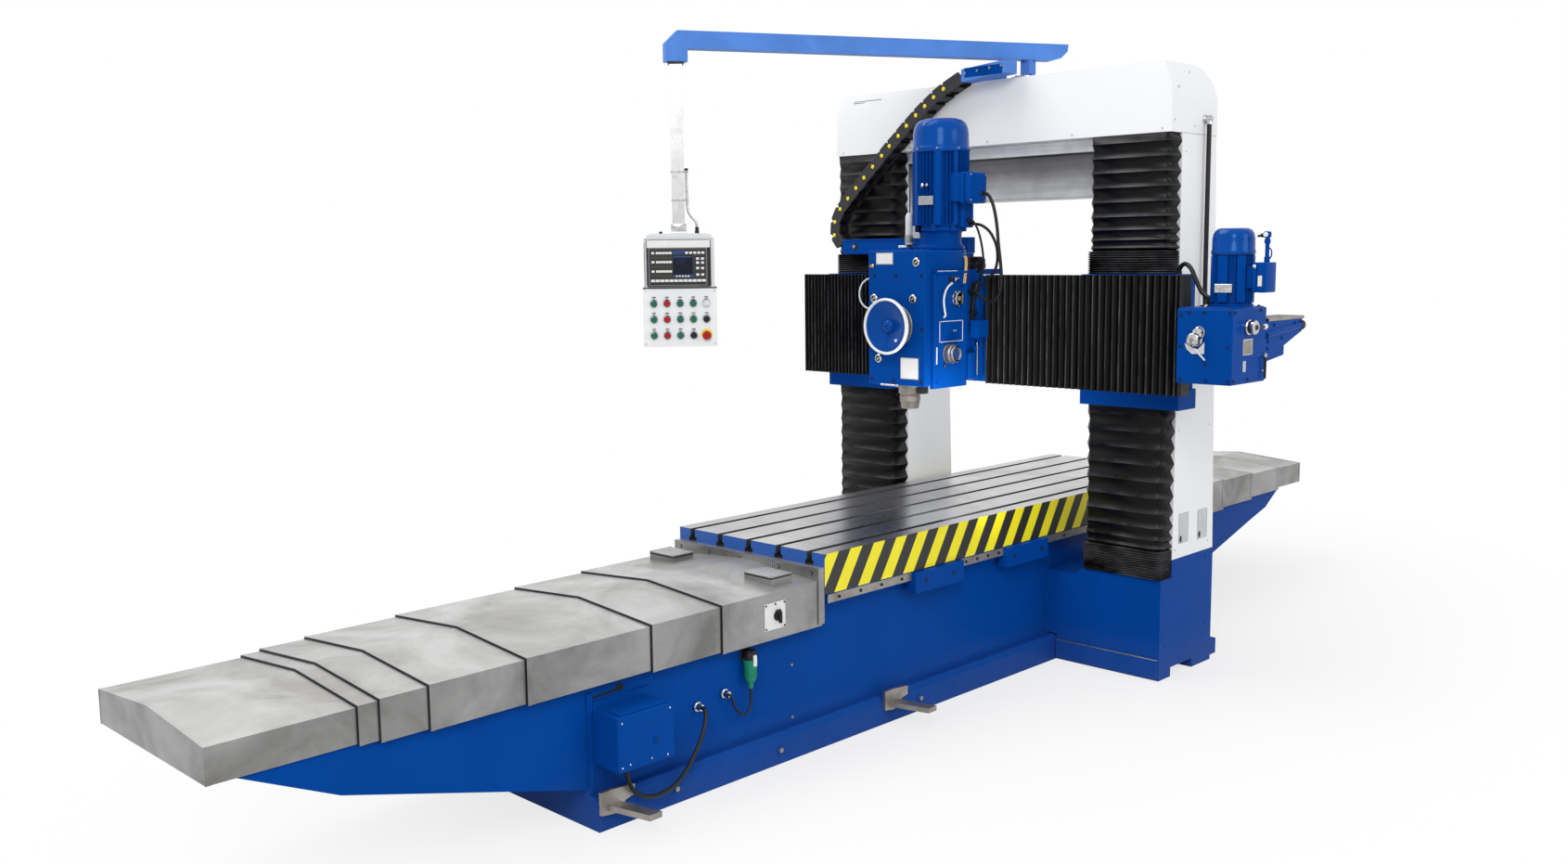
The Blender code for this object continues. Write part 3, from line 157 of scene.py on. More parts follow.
floor_mesh.from_pydata([(-60, -60, 0), (60, -60, 0), (60, 60, 0), (-60, 60, 0)], [], [(0, 1, 2, 3)])
floor_mesh.materials.append(floor_finish)
floor = put_in_scene("studio_floor", floor_mesh)
floor.location.z = -0.002


# %% Lamps and world
def lamp(name, place, aim, size, watts):
    data = bpy.data.lights.new(name, "AREA")
    data.shape = "DISK"
    data.size = size
    data.energy = watts
    item = put_in_scene(name, data)
    item.location = place
    item.rotation_euler = (Vector(aim) - Vector(place)).to_track_quat("-Z", "Y").to_euler()
    return item


lamp("key_lamp", (5.5, -8.0, 6.5), (0.0, -0.8, 0.8), 4.0, 400)
lamp("side_lamp", (8.5, 0.5, 4.5), (0.4, 0.0, 1.2), 4.0, 150)
lamp("top_lamp", (-2.5, -2.0, 7.5), (0.0, -0.5, 0.8), 5.0, 330)
inner_fill = lamp("inner_fill", (0.4, -0.75, 1.08), (-0.75, 0.3, 1.02), 0.5, 9)
inner_fill.visible_camera = inner_fill.visible_glossy = False

world = bpy.data.worlds.new("studio")
world.use_nodes = True
bpy.context.scene.world = world
sky = world.node_tree
sky.nodes.clear()
soft = add_node(sky, "ShaderNodeBackground", Color=(0.97, 0.98, 1.0, 1), Strength=0.66)
white_view = add_node(sky, "ShaderNodeBackground", Color=(1, 1, 1, 1))
blend_views = sky.nodes.new("ShaderNodeMixShader")
for slot, source in enumerate((white_rays(sky), soft.outputs[0], white_view.outputs[0])):
    link(sky, source, blend_views.inputs[slot])
link(sky, blend_views.outputs[0], sky.nodes.new("ShaderNodeOutputWorld").inputs["Surface"])
bpy.context.scene.view_settings.view_transform = "Standard"
print("lamps and a white world")

# %% [markdown]
# Most finishes share three effects, so each is a node group that is built once:
# an uneven tone, as on sprayed paint and sheet steel; fine straight scratches, as a brush leaves;
# and dust that gathers low down, near the workshop floor.
# A group gives out values only. The shader itself stays in each material.

# %% Helpers for node groups and colours
def group_tree(name, inputs, outputs):
    tree = bpy.data.node_groups.new(name, "ShaderNodeTree")
    for label, kind, value in inputs:
        socket = tree.interface.new_socket(label, in_out="INPUT", socket_type="NodeSocket" + kind)
        if value is not None:
            socket.default_value = value
    for label, kind in outputs:
        tree.interface.new_socket(label, in_out="OUTPUT", socket_type="NodeSocket" + kind)
    return tree, tree.nodes.new("NodeGroupInput"), tree.nodes.new("NodeGroupOutput")


def mix_colour(tree, factor, first, second, mode="MIX"):
    made = tree.nodes.new("ShaderNodeMix")
    made.data_type = "RGBA"
    made.blend_type = mode
    for socket, value in ((made.inputs[0], factor), (made.inputs[6], first), (made.inputs[7], second)):
        if isinstance(value, (int, float, tuple)):
            socket.default_value = value
        else:
            link(tree, value, socket)
    return made.outputs[2]


def split(tree, vector):
    """The X, Y and Z of a vector."""
    made = tree.nodes.new("ShaderNodeSeparateXYZ")
    link(tree, vector, made.inputs[0])
    return made.outputs


def tint(tree, first, second):
    return mix_colour(tree, 1.0, first, second, "MULTIPLY")


# %% Group: uneven tone
def build_uneven_tone():
    given_values = [("Vector", "Vector", None), ("Scale", "Float", 3.0), ("Depth", "Float", 0.1)]
    tree, given, result = group_tree("uneven_tone", given_values, [("Tone", "Float"), ("Fine", "Float")])
    broad = add_node(tree, "ShaderNodeTexNoise", Detail=5.0, Roughness=0.6, Distortion=0.6)
    link(tree, given.outputs["Vector"], broad.inputs["Vector"])
    link(tree, given.outputs["Scale"], broad.inputs["Scale"])
    fine = add_node(tree, "ShaderNodeTexNoise", Scale=160.0, Detail=2.0)
    link(tree, given.outputs["Vector"], fine.inputs["Vector"])
    centred = math_node(tree, "SUBTRACT", broad.outputs["Fac"], 0.5)
    scaled = math_node(tree, "MULTIPLY", centred, given.outputs["Depth"])
    tone = math_node(tree, "MULTIPLY_ADD", scaled, 2.0, 1.0)
    link(tree, tone, result.inputs["Tone"])
    link(tree, fine.outputs["Fac"], result.inputs["Fine"])
    return tree


uneven_tone = build_uneven_tone()


# %% Group: straight scratches
def build_scratches():
    given_values = [("Vector", "Vector", None), ("Stretch", "Vector", (300.0, 6.0, 300.0))]
    tree, given, result = group_tree("straight_scratches", given_values, [("Lines", "Float")])
    stretched = add_node(tree, "ShaderNodeVectorMath", operation="MULTIPLY")
    link(tree, given.outputs["Vector"], stretched.inputs[0])
    link(tree, given.outputs["Stretch"], stretched.inputs[1])
    noise = add_node(tree, "ShaderNodeTexNoise", Scale=1.0, Detail=3.0, Roughness=0.7)
    link(tree, stretched.outputs[0], noise.inputs["Vector"])
    link(tree, noise.outputs["Fac"], result.inputs["Lines"])
    return tree


straight_scratches = build_scratches()


# %% Group: dust near the floor
def build_low_dust():
    given_values = [("Vector", "Vector", None), ("Height", "Float", 0.2), ("Amount", "Float", 0.5)]
    tree, given, result = group_tree("low_dust", given_values, [("Mask", "Float")])
    parts = split(tree, given.outputs["Vector"])
    ratio = math_node(tree, "DIVIDE", parts["Z"], given.outputs["Height"])
    low = math_node(tree, "SUBTRACT", 1.0, ratio, clamp=True)
    patches = add_node(tree, "ShaderNodeTexNoise", Scale=9.0, Detail=6.0, Roughness=0.7)
    link(tree, given.outputs["Vector"], patches.inputs["Vector"])
    patchy = math_node(tree, "MULTIPLY", low, patches.outputs["Fac"])
    link(tree, math_node(tree, "MULTIPLY", patchy, given.outputs["Amount"]), result.inputs["Mask"])
    return tree


low_dust = build_low_dust()


def use_group(tree, group, vector, **values):
    made = tree.nodes.new("ShaderNodeGroup")
    made.node_tree = group
    link(tree, vector, made.inputs["Vector"])
    for name, value in values.items():
        made.inputs[name].default_value = value
    return made.outputs


def new_finish(name, colour=(0.8, 0.8, 0.8), rough=0.5, metal=0.0):
    """A material with its shader and its object coordinates."""
    finish = bpy.data.materials.new(name)
    finish.use_nodes = True
    tree = finish.node_tree
    shader = tree.nodes["Principled BSDF"]
    shader.inputs["Base Color"].default_value = (*colour, 1)
    shader.inputs["Roughness"].default_value = rough
    shader.inputs["Metallic"].default_value = metal
    place = tree.nodes.new("ShaderNodeTexCoord").outputs["Object"]
    return finish, tree, shader, place


def set_bump(tree, shader, height, strength, distance):
    bump = add_node(tree, "ShaderNodeBump", Strength=strength, Distance=distance)
    link(tree, height, bump.inputs["Height"])
    link(tree, bump.outputs[0], shader.inputs["Normal"])


# %% [markdown]
# Machine paint is sprayed on filled castings. It is nearly one colour, but it isn't dead flat:
# it has a faint orange peel, patches that are a little glossier than others, and dust low down.

# %% Paints
def make_paint(name, colour, rough, tone_scale, tone_depth, peel, dust=0.0):
    finish, tree, shader, place = new_finish(name, colour, rough)
    tone = use_group(tree, uneven_tone, place, Scale=tone_scale, Depth=tone_depth)
    painted = tint(tree, (*colour, 1), tone["Tone"])
    if dust:
        mask = use_group(tree, low_dust, place, Height=0.22, Amount=dust)
        painted = mix_colour(tree, mask["Mask"], painted, (0.3, 0.31, 0.33, 1))
    link(tree, painted, shader.inputs["Base Color"])
    uneven = math_node(tree, "MULTIPLY_ADD", tone["Tone"], 0.5, rough - 0.5)
    link(tree, uneven, shader.inputs["Roughness"])
    set_bump(tree, shader, tone["Fine"], peel, 0.0004)
    is_blue = colour[2] > 3 * colour[0]
    shader.inputs["Specular IOR Level"].default_value = 0.04 if is_blue else 0.4
    if is_blue:
        shader.inputs["Specular Tint"].default_value = (0.3, 0.6, 1.0, 1)
    return finish


blue_paint = make_paint("blue_paint", (0.0011, 0.05, 0.268), 0.3, 2.2, 0.16, 0.25, 0.1)
arm_paint = make_paint("arm_paint", (0.085, 0.215, 0.59), 0.4, 3.2, 0.3, 0.15)
gloss_blue = make_paint("gloss_blue", (0.0012, 0.05, 0.265), 0.16, 3.0, 0.16, 0.06)
gloss_blue.node_tree.nodes["Principled BSDF"].inputs["Specular IOR Level"].default_value = 0.22
white_paint = make_paint("white_paint", (0.79, 0.795, 0.8), 0.42, 1.5, 0.03, 0.12)
# Painted shade: the pockets' grey is partly their colour and partly painted shade, as flush plates stand in for
# recesses.
pocket_grey_and_shade = make_paint("pocket_grey_and_shade", (0.5, 0.51, 0.52), 0.45, 9.0, 0.25, 0.12)
pendant_paint = make_paint("pendant_paint", (0.66, 0.67, 0.68), 0.4, 6.0, 0.03, 0.1)
print("paints made")

# %% [markdown]
# The covers are cold-rolled stainless sheet. It shows soft clouds from rolling and handling,
# and it reflects its surroundings in a blur, so its roughness changes with the clouds too.

# %% Bare metals
def make_metal(name, dark, light, rough, cloud_scale, cloud_depth, stretch, line_depth, metal=1.0):
    finish, tree, shader, place = new_finish(name, light, rough, metal)
    tone = use_group(tree, uneven_tone, place, Scale=cloud_scale, Depth=cloud_depth)
    lines = use_group(tree, straight_scratches, place, Stretch=stretch)
    cloud = math_node(tree, "MULTIPLY_ADD", tone["Tone"], 2.5, -2.0, clamp=True)
    mixed = mix_colour(tree, cloud, (*dark, 1), (*light, 1))
    lined = math_node(tree, "MULTIPLY_ADD", lines["Lines"], line_depth, 1.0 - line_depth / 2)
    link(tree, tint(tree, mixed, lined), shader.inputs["Base Color"])
    link(tree, math_node(tree, "MULTIPLY_ADD", tone["Tone"], -0.35, rough + 0.35), shader.inputs["Roughness"])
    set_bump(tree, shader, lines["Lines"], 0.1, 0.0003)
    return finish, tree, shader, place


stainless_sheet, sheet_tree, sheet_shader, _ = make_metal("stainless_sheet", (0.25, 0.245, 0.24),
    (0.47, 0.47, 0.465), 0.36, 2.8, 0.62, (240.0, 5.0, 240.0), 0.1, 0.85)
# Painted shade: the upright faces are painted darker than the roofs, which come out a little lighter.
upward = split(sheet_tree, sheet_tree.nodes.new("ShaderNodeNewGeometry").outputs["Normal"])
painted_side_shade = math_node(sheet_tree, "MULTIPLY_ADD", math_node(sheet_tree, "ABSOLUTE", upward["Z"]), 0.42, 0.72)
sheet_colour = sheet_shader.inputs["Base Color"].links[0].from_socket
link(sheet_tree, tint(sheet_tree, sheet_colour, painted_side_shade), sheet_shader.inputs["Base Color"])
bright_metal = make_metal("bright_metal", (0.34, 0.34, 0.35), (0.68, 0.68, 0.69), 0.14, 60.0, 0.5,
    (200.0, 200.0, 20.0), 0.05)[0]
bare_steel = make_metal("bare_steel", (0.2, 0.175, 0.15), (0.42, 0.4, 0.375), 0.46, 9.0, 0.35, (60.0, 60.0, 60.0),
    0.25, 0.9)[0]
galvanised = make_metal("galvanised_pole", (0.36, 0.36, 0.36), (0.66, 0.66, 0.67), 0.3, 16.0, 0.35,
    (120.0, 120.0, 3.0), 0.25, 0.9)[0]
print("metals made")

# %% [markdown]
# The guards are coated cloth and the chain is nylon. Both are black, but never pure black:
# the cloth's finish paints light on its upward folds and a highlight along the ridges of its pleats.

# %% Blacks and small colours
def make_plain(name, colour, rough, scale=12.0, depth=0.15, peel=0.15, metal=0.0):
    finish, tree, shader, place = new_finish(name, colour, rough, metal)
    tone = use_group(tree, uneven_tone, place, Scale=scale, Depth=depth)
    link(tree, tint(tree, (*colour, 1), tone["Tone"]), shader.inputs["Base Color"])
    link(tree, math_node(tree, "MULTIPLY_ADD", tone["Tone"], 0.4, rough - 0.4), shader.inputs["Roughness"])
    set_bump(tree, shader, tone["Fine"], peel, 0.0003)
    if not metal:
        shader.inputs["Specular IOR Level"].default_value = 0.22
    return finish


guard_cloth = make_plain("guard_cloth", (0.0045, 0.0045, 0.0052), 0.3, 7.0, 0.45, 0.35)
black_nylon = make_plain("black_nylon", (0.013, 0.013, 0.014), 0.42)
black_rubber = make_plain("black_rubber", (0.011, 0.011, 0.012), 0.38)
# Painted shade: this near-black stands in for the shade in gaps, holes, grooves and recesses, and also draws thin
# seam lines.
seam_and_shade_black = make_plain("seam_and_shade_black", (0.012, 0.012, 0.014), 0.7)
yellow_plastic = make_plain("yellow_plastic", (0.8, 0.62, 0.02), 0.4, 20.0, 0.05)
red_plastic = make_plain("red_plastic", (0.36, 0.01, 0.012), 0.3, 20.0, 0.05)
green_plastic = make_plain("green_plastic", (0.01, 0.13, 0.07), 0.3, 20.0, 0.05)
plug_green = make_plain("plug_green", (0.012, 0.21, 0.12), 0.42, 20.0, 0.1)
frame_grey = make_plain("frame_grey", (0.13, 0.13, 0.14), 0.35, 18.0, 0.2, 0.1, 0.5)
chain_grey = make_plain("chain_grey", (0.03, 0.03, 0.032), 0.38, 18.0, 0.2, 0.2)
screen_glass = make_plain("screen_glass", (0.003, 0.004, 0.016), 0.12, 20.0, 0.05, 0.02)
olive_mark = make_plain("olive_mark", (0.06, 0.085, 0.03), 0.4, 20.0, 0.05)
blue_strip = make_plain("blue_strip", (0.02, 0.05, 0.16), 0.35, 20.0, 0.05)
brass = make_plain("brass", (0.55, 0.36, 0.1), 0.25, 20.0, 0.1, 0.05, 1.0)
clear_hose = make_plain("clear_hose", (0.62, 0.63, 0.62), 0.22, 20.0, 0.1)
white_plastic = make_plain("white_plastic", (0.7, 0.7, 0.69), 0.35, 20.0, 0.1)
label_plate = make_plain("label_plate", (0.34, 0.35, 0.37), 0.32, 30.0, 0.3, 0.15, 0.6)


def lit_cloth(name, shown, low, high, dark, light, streaks):
    """Coated cloth with painted light: lighter on upward folds as painted top light, or along its ridges as a
    painted highlight, in streaks.
    """
    finish, tree, shader, place = new_finish(name, dark, 0.34)
    tone = use_group(tree, uneven_tone, place, Scale=7.0, Depth=0.45)
    lines = use_group(tree, straight_scratches, place, Stretch=streaks)
    way = tree.nodes.new("ShaderNodeNewGeometry").outputs["Normal"] if shown == "Z" else place
    parts = split(tree, way)
    share = math_node(tree, "DIVIDE", math_node(tree, "SUBTRACT", parts[shown], low), high - low, clamp=True)
    strong_lines = math_node(tree, "MULTIPLY_ADD", lines["Lines"], 3.4, -1.15, clamp=True)
    painted_light = math_node(tree, "MULTIPLY", share, strong_lines)
    colour = mix_colour(tree, painted_light, (*dark, 1), (*light, 1))
    link(tree, tint(tree, colour, tone["Tone"]), shader.inputs["Base Color"])
    link(tree, math_node(tree, "MULTIPLY_ADD", tone["Tone"], 0.3, 0.04), shader.inputs["Roughness"])
    set_bump(tree, shader, tone["Fine"], 0.35, 0.0003)
    shader.inputs["Specular IOR Level"].default_value = 0.14
    return finish


# Painted light: the folds that face up are painted lighter, as if lit from above.
top_lit_cloth = lit_cloth("top_lit_cloth", "Z", 0.25, 0.6, (0.0022, 0.0022, 0.0026), (0.062, 0.062, 0.065),
    (5.0, 5.0, 9.0))
# Painted highlight: the front edges of the pleats' ridges are painted lighter.
ridge_highlight_cloth = lit_cloth("ridge_highlight_cloth", "Y", -0.2462, -0.25, (0.0016, 0.0016, 0.0019), (0.105, 0.105, 0.11),
    (90.0, 4.0, 7.0))
print("blacks and small colours made")

# %% [markdown]
# The table is one solid, so its finish tells the faces apart by where they are:
# ground steel on top, painted shade inside the T-slots, blue on the two ends,
# and yellow and black warning stripes along both sides.

# %% Table finish
TABLE_HALF, TABLE_FRONT, TABLE_REAR, TABLE_TOP = 0.45, -1.722, 1.296, 0.82
STRIPE_PITCH, STRIPE_LEAN = 0.1495, -0.62
HAIR = 0.0004     # so far from a face still counts as on it
BEAM_LOW, BEAM_HIGH = 2.312, 2.585


def make_table_finish():
    finish, tree, shader, place = make_metal("table_faces", (0.34, 0.34, 0.345), (0.66, 0.66, 0.665), 0.3, 1.3,
        0.4, (240.0, 3.0, 240.0), 0.25)
    parts = split(tree, place)
    x, y, z = parts["X"], parts["Y"], parts["Z"]
    side = math_node(tree, "GREATER_THAN", math_node(tree, "ABSOLUTE", x), TABLE_HALF - HAIR)
    front = math_node(tree, "LESS_THAN", y, TABLE_FRONT + HAIR)
    rear = math_node(tree, "GREATER_THAN", y, TABLE_REAR - HAIR)
    ends = math_node(tree, "MAXIMUM", front, rear)
    slots = math_node(tree, "LESS_THAN", z, TABLE_TOP - 0.0006)
    slope = math_node(tree, "MULTIPLY_ADD", z, STRIPE_LEAN, y)
    wave = math_node(tree, "FRACT", math_node(tree, "MULTIPLY_ADD", slope, 1 / STRIPE_PITCH, 0.33))
    yellow = math_node(tree, "GREATER_THAN", wave, 0.5)
    tone = use_group(tree, uneven_tone, place, Scale=5.0, Depth=0.1)
    stripes = mix_colour(tree, yellow, (0.014, 0.014, 0.014, 1), (0.82, 0.72, 0.008, 1))
    stripes = tint(tree, stripes, tone["Tone"])
    socket = shader.inputs["Base Color"]
    steel = socket.links[0].from_socket
    # Painted shade: the faces inside the T-slots are painted near-black.
    colour = mix_colour(tree, slots, steel, (0.035, 0.035, 0.037, 1))
    colour = mix_colour(tree, side, colour, stripes)
    colour = mix_colour(tree, ends, colour, (0.006, 0.08, 0.36, 1))
    link(tree, colour, socket)
    painted = math_node(tree, "MAXIMUM", math_node(tree, "MAXIMUM", side, ends), slots)
    link(tree, math_node(tree, "SUBTRACT", 1.0, painted, clamp=True), shader.inputs["Metallic"])
    rough = shader.inputs["Roughness"].links[0].from_socket
    link(tree, math_node(tree, "MULTIPLY_ADD", painted, 0.16, rough), shader.inputs["Roughness"])
    return finish


table_faces = make_table_finish()


def make_beam_finish():
    """The top beam behind the covers: a painted strip above, bare dark steel below and a black line between; the
    steel is painted lighter at its lower edge and darker upwards as painted shade.
    """
    finish, tree, shader, place = new_finish("beam_faces", (0.5, 0.5, 0.5), 0.42, 0.0)
    parts = split(tree, place)
    tall = BEAM_HIGH - BEAM_LOW
    share = math_node(tree, "MULTIPLY_ADD", parts["Z"], 1 / tall, -BEAM_LOW / tall)
    ramp = tree.nodes.new("ShaderNodeValToRGB")
    # Painted shade: below the black line the steel darkens from its light lower edge up to the strip.
    stops = [(0.0, 0.75), (0.03, 0.55), (0.25, 0.36), (0.5, 0.17), (0.73, 0.09), (0.755, 0.008), (0.78, 0.008),
        (0.785, 0.55), (0.8, 0.9), (1.0, 0.98)]
    line = ramp.color_ramp.elements
    for k, (spot, value) in enumerate(stops):
        stop = line[k] if k < 2 else line.new(spot)
        stop.position, stop.color = spot, (value, value, value, 1)
    link(tree, share, ramp.inputs[0])
    tone = use_group(tree, uneven_tone, place, Scale=7.0, Depth=0.35)
    streak = use_group(tree, straight_scratches, place, Stretch=(1.6, 1.0, 34.0))
    streaky = math_node(tree, "MULTIPLY_ADD", streak["Lines"], 0.7, 0.62)
    colour = tint(tree, ramp.outputs[0], math_node(tree, "MULTIPLY", tone["Tone"], streaky))
    link(tree, colour, shader.inputs["Base Color"])
    set_bump(tree, shader, tone["Fine"], 0.12, 0.0004)
    return finish


beam_faces = make_beam_finish()


# %% Give each solid its finish
def dress(finish, *names):
    for name in names:
        for place in nodes[name].material_slots:
            place.material = finish


dress(blue_paint, "bed", "base_wing_left", "base_wing_right", "crossrail", "head_saddle", "head_gearbox",
    "head_motor", "feed_gearbox", "feed_motor", "feed_bracket", "chain_bar", "electrical_box",
    "travel_stops_left", "travel_stops_right", "handwheel")
dress(white_paint, "column_left", "column_right", "beam_cover")
dress(beam_faces, "top_beam")
dress(pendant_paint, "pendant_housing", "pendant_panel")
dress(stainless_sheet, *(name for name in nodes if name.startswith("way_cover")))
dress(table_faces, "table")
dress(guard_cloth, *(name for name in nodes if "guard" in name))
dress(black_nylon, "chain_upper", "chain_lower", "pendant_screen", "rail_end_plate")
dress(arm_paint, "arm", "arm_post", "chain_guide")
dress(bright_metal, "spindle", "feed_lever", "conduit_gland", "lead_gland", "hose_fitting")
dress(galvanised, "pendant_pole")
dress(bare_steel, "lifting_bar_front", "lifting_bar_rear")
dress(plug_green, "plug")
undressed = [name for name, item in nodes.items() if any(slot.material is None for slot in item.material_slots)]
print("solids without a finish:", undressed)

# %% [markdown]
# Many fine pieces are small machined or moulded shapes: blocks with a softened edge, turned parts,
# bent bars and flat plates. A small helper gathers such shapes into one mesh that has several finishes,
# so that a whole assembly is one piece that rides on one body.

# %% Shapes gathered into one piece
PIECES = []


def facing(origin, normal, up=(0, 0, 1)):
    """A place on a surface: local z along the normal, local y as near to up as it goes."""
    z = Vector(normal).normalized()
    x = Vector(up).cross(z).normalized()
    return Matrix.Translation(Vector(origin)) @ Matrix((x, z.cross(x), z)).transposed().to_4x4()


def to_right(x, y, z):
    return facing((x, y, z), (1, 0, 0))


def to_front(x, y, z):
    return facing((x, y, z), (0, -1, 0))


def upright(x, y):
    return Matrix.Translation((x, y, 0.0))


def spin(degrees):
    return Matrix.Rotation(radians(degrees), 4, "Z")


def spin_at(x, y, degrees):
    """A turn about the upright line through (x, y)."""
    return upright(x, y) @ spin(degrees) @ upright(-x, -y)


def stud(radius, low, high, crown):
    """Profile of a round head: straight from low to high, then a flat cone up to its crown."""
    return [(radius, low), (radius, high), (0.0, crown)]


def turned_shape(points, steps=12, ring=False):
    """Turn (radius, height) points about z. A ring joins its last point to its first."""
    shape = bmesh.new()
    rings = []
    for radius, height in points:
        if radius == 0:
            rings.append([shape.verts.new((0, 0, height))])
            continue
        rings.append([shape.verts.new((radius * cos(2 * pi * i / steps), radius * sin(2 * pi * i / steps),
            height)) for i in range(steps)])
    for low, high in list(zip(rings, rings[1:])) + ([(rings[-1], rings[0])] if ring else []):
        for i in range(steps):
            j = (i + 1) % steps
            corners = [low[i % len(low)], low[j % len(low)], high[j % len(high)], high[i % len(high)]]
            shape.faces.new(list(dict.fromkeys(corners)))
    return shape


def skin_rings(shape, rings):
    """Join closed rings of corners in turn, and cap the two ends."""
    count = len(rings[0])
    for low, high in zip(rings, rings[1:]):
        for i in range(count):
            j = (i + 1) % count
            shape.faces.new((low[i], low[j], high[j], high[i]))
    shape.faces.new(list(reversed(rings[0])))
    shape.faces.new(rings[-1])
    return shape


def rounded(mesh, angle=35):
    mesh.shade_smooth()
    mesh.set_sharp_from_angle(angle=radians(angle))


class Piece:
    """Shapes in several finishes, gathered in the frame's metres."""

    def __init__(self, name):
        self.name, self.mesh, self.finishes = name, bmesh.new(), []

    def add(self, shape, finish, place=None):
        bmesh.ops.recalc_face_normals(shape, faces=shape.faces)
        if place is not None:
            shape.transform(place)
        if finish not in self.finishes:
            self.finishes.append(finish)
        for face in shape.faces:
            face.material_index = self.finishes.index(finish)
        passing = bpy.data.meshes.new("passing")
        shape.to_mesh(passing)
        shape.free()
        self.mesh.from_mesh(passing)
        bpy.data.meshes.remove(passing)

    def block(self, low, high, finish, bevel=0.0015, place=None, steps=1):
        shape = bmesh.new()
        bmesh.ops.create_cube(shape, size=1.0)
        size = Vector(high) - Vector(low)
        middle = (Vector(high) + Vector(low)) / 2
        shape.transform(Matrix.Translation(middle) @ Matrix.Diagonal((*size, 1)))
        if bevel:
            bmesh.ops.bevel(shape, geom=shape.edges[:], offset=bevel, segments=steps, profile=0.5, affect="EDGES")
        self.add(shape, finish, place)

    def side_block(self, side_sign, inner, outer, low, high, finish, bevel=0.0015):
        """A block between two distances from the middle, on one side, with low and high as (y, z)."""
        x0, x1 = sorted((side_sign * inner, side_sign * outer))
        self.block((x0, *low), (x1, *high), finish, bevel)

    def turned(self, profile, finish, place=None, steps=32, ring=False):
        """Turn (radius, height) points about local z. Without ring, both ends are closed on the axis."""
        points = list(profile)
        if not ring:
            if points[0][0] > 0:
                points.insert(0, (0.0, points[0][1]))
            if points[-1][0] > 0:
                points.append((0.0, points[-1][1]))
        self.add(turned_shape(points, steps, ring), finish, place)

    def tube(self, points, radius, finish, sides=12):
        """Round bar along a line of points, closed at both ends. The radius may be a list."""
        points = [Vector(point) for point in points]
        shape = bmesh.new()
        rings = []
        side = None
        for i, point in enumerate(points):
            along = (points[min(i + 1, len(points) - 1)] - points[max(i - 1, 0)]).normalized()
            if side is None:
                side = along.orthogonal().normalized()
            side = (side - along * side.dot(along)).normalized()
            other = along.cross(side)
            reach = radius[i] if isinstance(radius, (list, tuple)) else radius
            rings.append([shape.verts.new(point + (side * cos(a) + other * sin(a)) * reach)
                for a in (2 * pi * k / sides for k in range(sides))])
        self.add(skin_rings(shape, rings), finish)

    def plate(self, outline, low, high, finish, place=None, bevel=0.0):
        """Flat plate: its outline in local x and y, from low to high along local z."""
        shape = bmesh.new()
        bottom = [shape.verts.new((x, y, low)) for x, y in outline]
        top = [shape.verts.new((x, y, high)) for x, y in outline]
        shape.faces.new(list(reversed(bottom)))
        shape.faces.new(top)
        for i in range(len(outline)):
            j = (i + 1) % len(outline)
            shape.faces.new((bottom[i], bottom[j], top[j], top[i]))
        if bevel:
            bmesh.ops.bevel(shape, geom=shape.edges[:], offset=bevel, segments=1, profile=0.5, affect="EDGES")
        self.add(shape, finish, place)

    def skin(self, rings, finish):
        """Skin closed rings of points in turn, and cap the two ends."""
        shape = bmesh.new()
        self.add(skin_rings(shape, [[shape.verts.new(point) for point in ring] for ring in rings]), finish)

    def make(self, angle=35):
        mesh = bpy.data.meshes.new(self.name)
        self.mesh.to_mesh(mesh)
        self.mesh.free()
        for finish in self.finishes:
            mesh.materials.append(finish)
        rounded(mesh, angle)
        item = put_in_scene(self.name, mesh)
        PIECES.append(item)
        return item

    def on(self, body, *stands_for, angle=35):
        """Finish the piece, let it ride on a body, and hide the nodes that it stands for."""
        item = self.make(angle)
        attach(item, body)
        if stands_for:
            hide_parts(*stands_for)
        return item


def smooth_route(points, per_span=4):
    """A smooth line through points: its first and last spans stay straight."""
    line = [Vector(p) for p in points]
    made = [line[0]]
    for i in range(len(line) - 1):
        a, b = line[i], line[i + 1]
        before = line[i - 1] if i > 0 else a - (b - a)
        after = line[i + 2] if i + 2 < len(line) else b + (b - a)
        if i in (0, len(line) - 2):
            made.append(b)
            continue
        for k in range(1, per_span + 1):
            t = k / per_span
            made.append(0.5 * ((2 * a) + (b - before) * t + (2 * before - 5 * a + 4 * b - after) * t * t
                + (3 * a - before - 3 * b + after) * t ** 3))
    return made


def length_of(line):
    return sum((b - a).length for a, b in zip(line, line[1:]))


def declare_cord(item, line, leaves):
    """Print a cord's name and length."""
    tuple(leaves)
    round(length_of(line), 4)
    [tuple(p) for p in line]
    print(item.name, "is", round(length_of(line), 3), "m long")


print("the helpers are ready")

# %% [markdown]
# Screws, rivets, yellow dots and keys are one small pattern set again and again.
# One Geometry Nodes tree does this: each point of a mesh carries the turn of its copy,
# and the tree sets the pattern on every point, makes the copies real and gives them their finish.
# Loops in Python would do it too, but the tree keeps the pattern and its size in one place.

# %% Tree: a pattern on points
def geometry_tree(name, inputs, output):
    """A tree with named inputs and one geometry output."""
    tree = bpy.data.node_groups.new(name, "GeometryNodeTree")
    for label, kind in inputs:
        tree.interface.new_socket(label, in_out="INPUT", socket_type="NodeSocket" + kind)
    tree.interface.new_socket(output, in_out="OUTPUT", socket_type="NodeSocketGeometry")
    return tree, tree.nodes.new("NodeGroupInput").outputs, tree.nodes.new("NodeGroupOutput").inputs


def close_tree(tree, copies, finish, result):
    """Make the copies real, give them their finish and hand them out."""
    real = tree.nodes.new("GeometryNodeRealizeInstances")
    painted = tree.nodes.new("GeometryNodeSetMaterial")
    link(tree, copies, real.inputs[0])
    link(tree, real.outputs[0], painted.inputs["Geometry"])
    link(tree, finish, painted.inputs["Material"])
    link(tree, painted.outputs[0], result[0])
    return tree


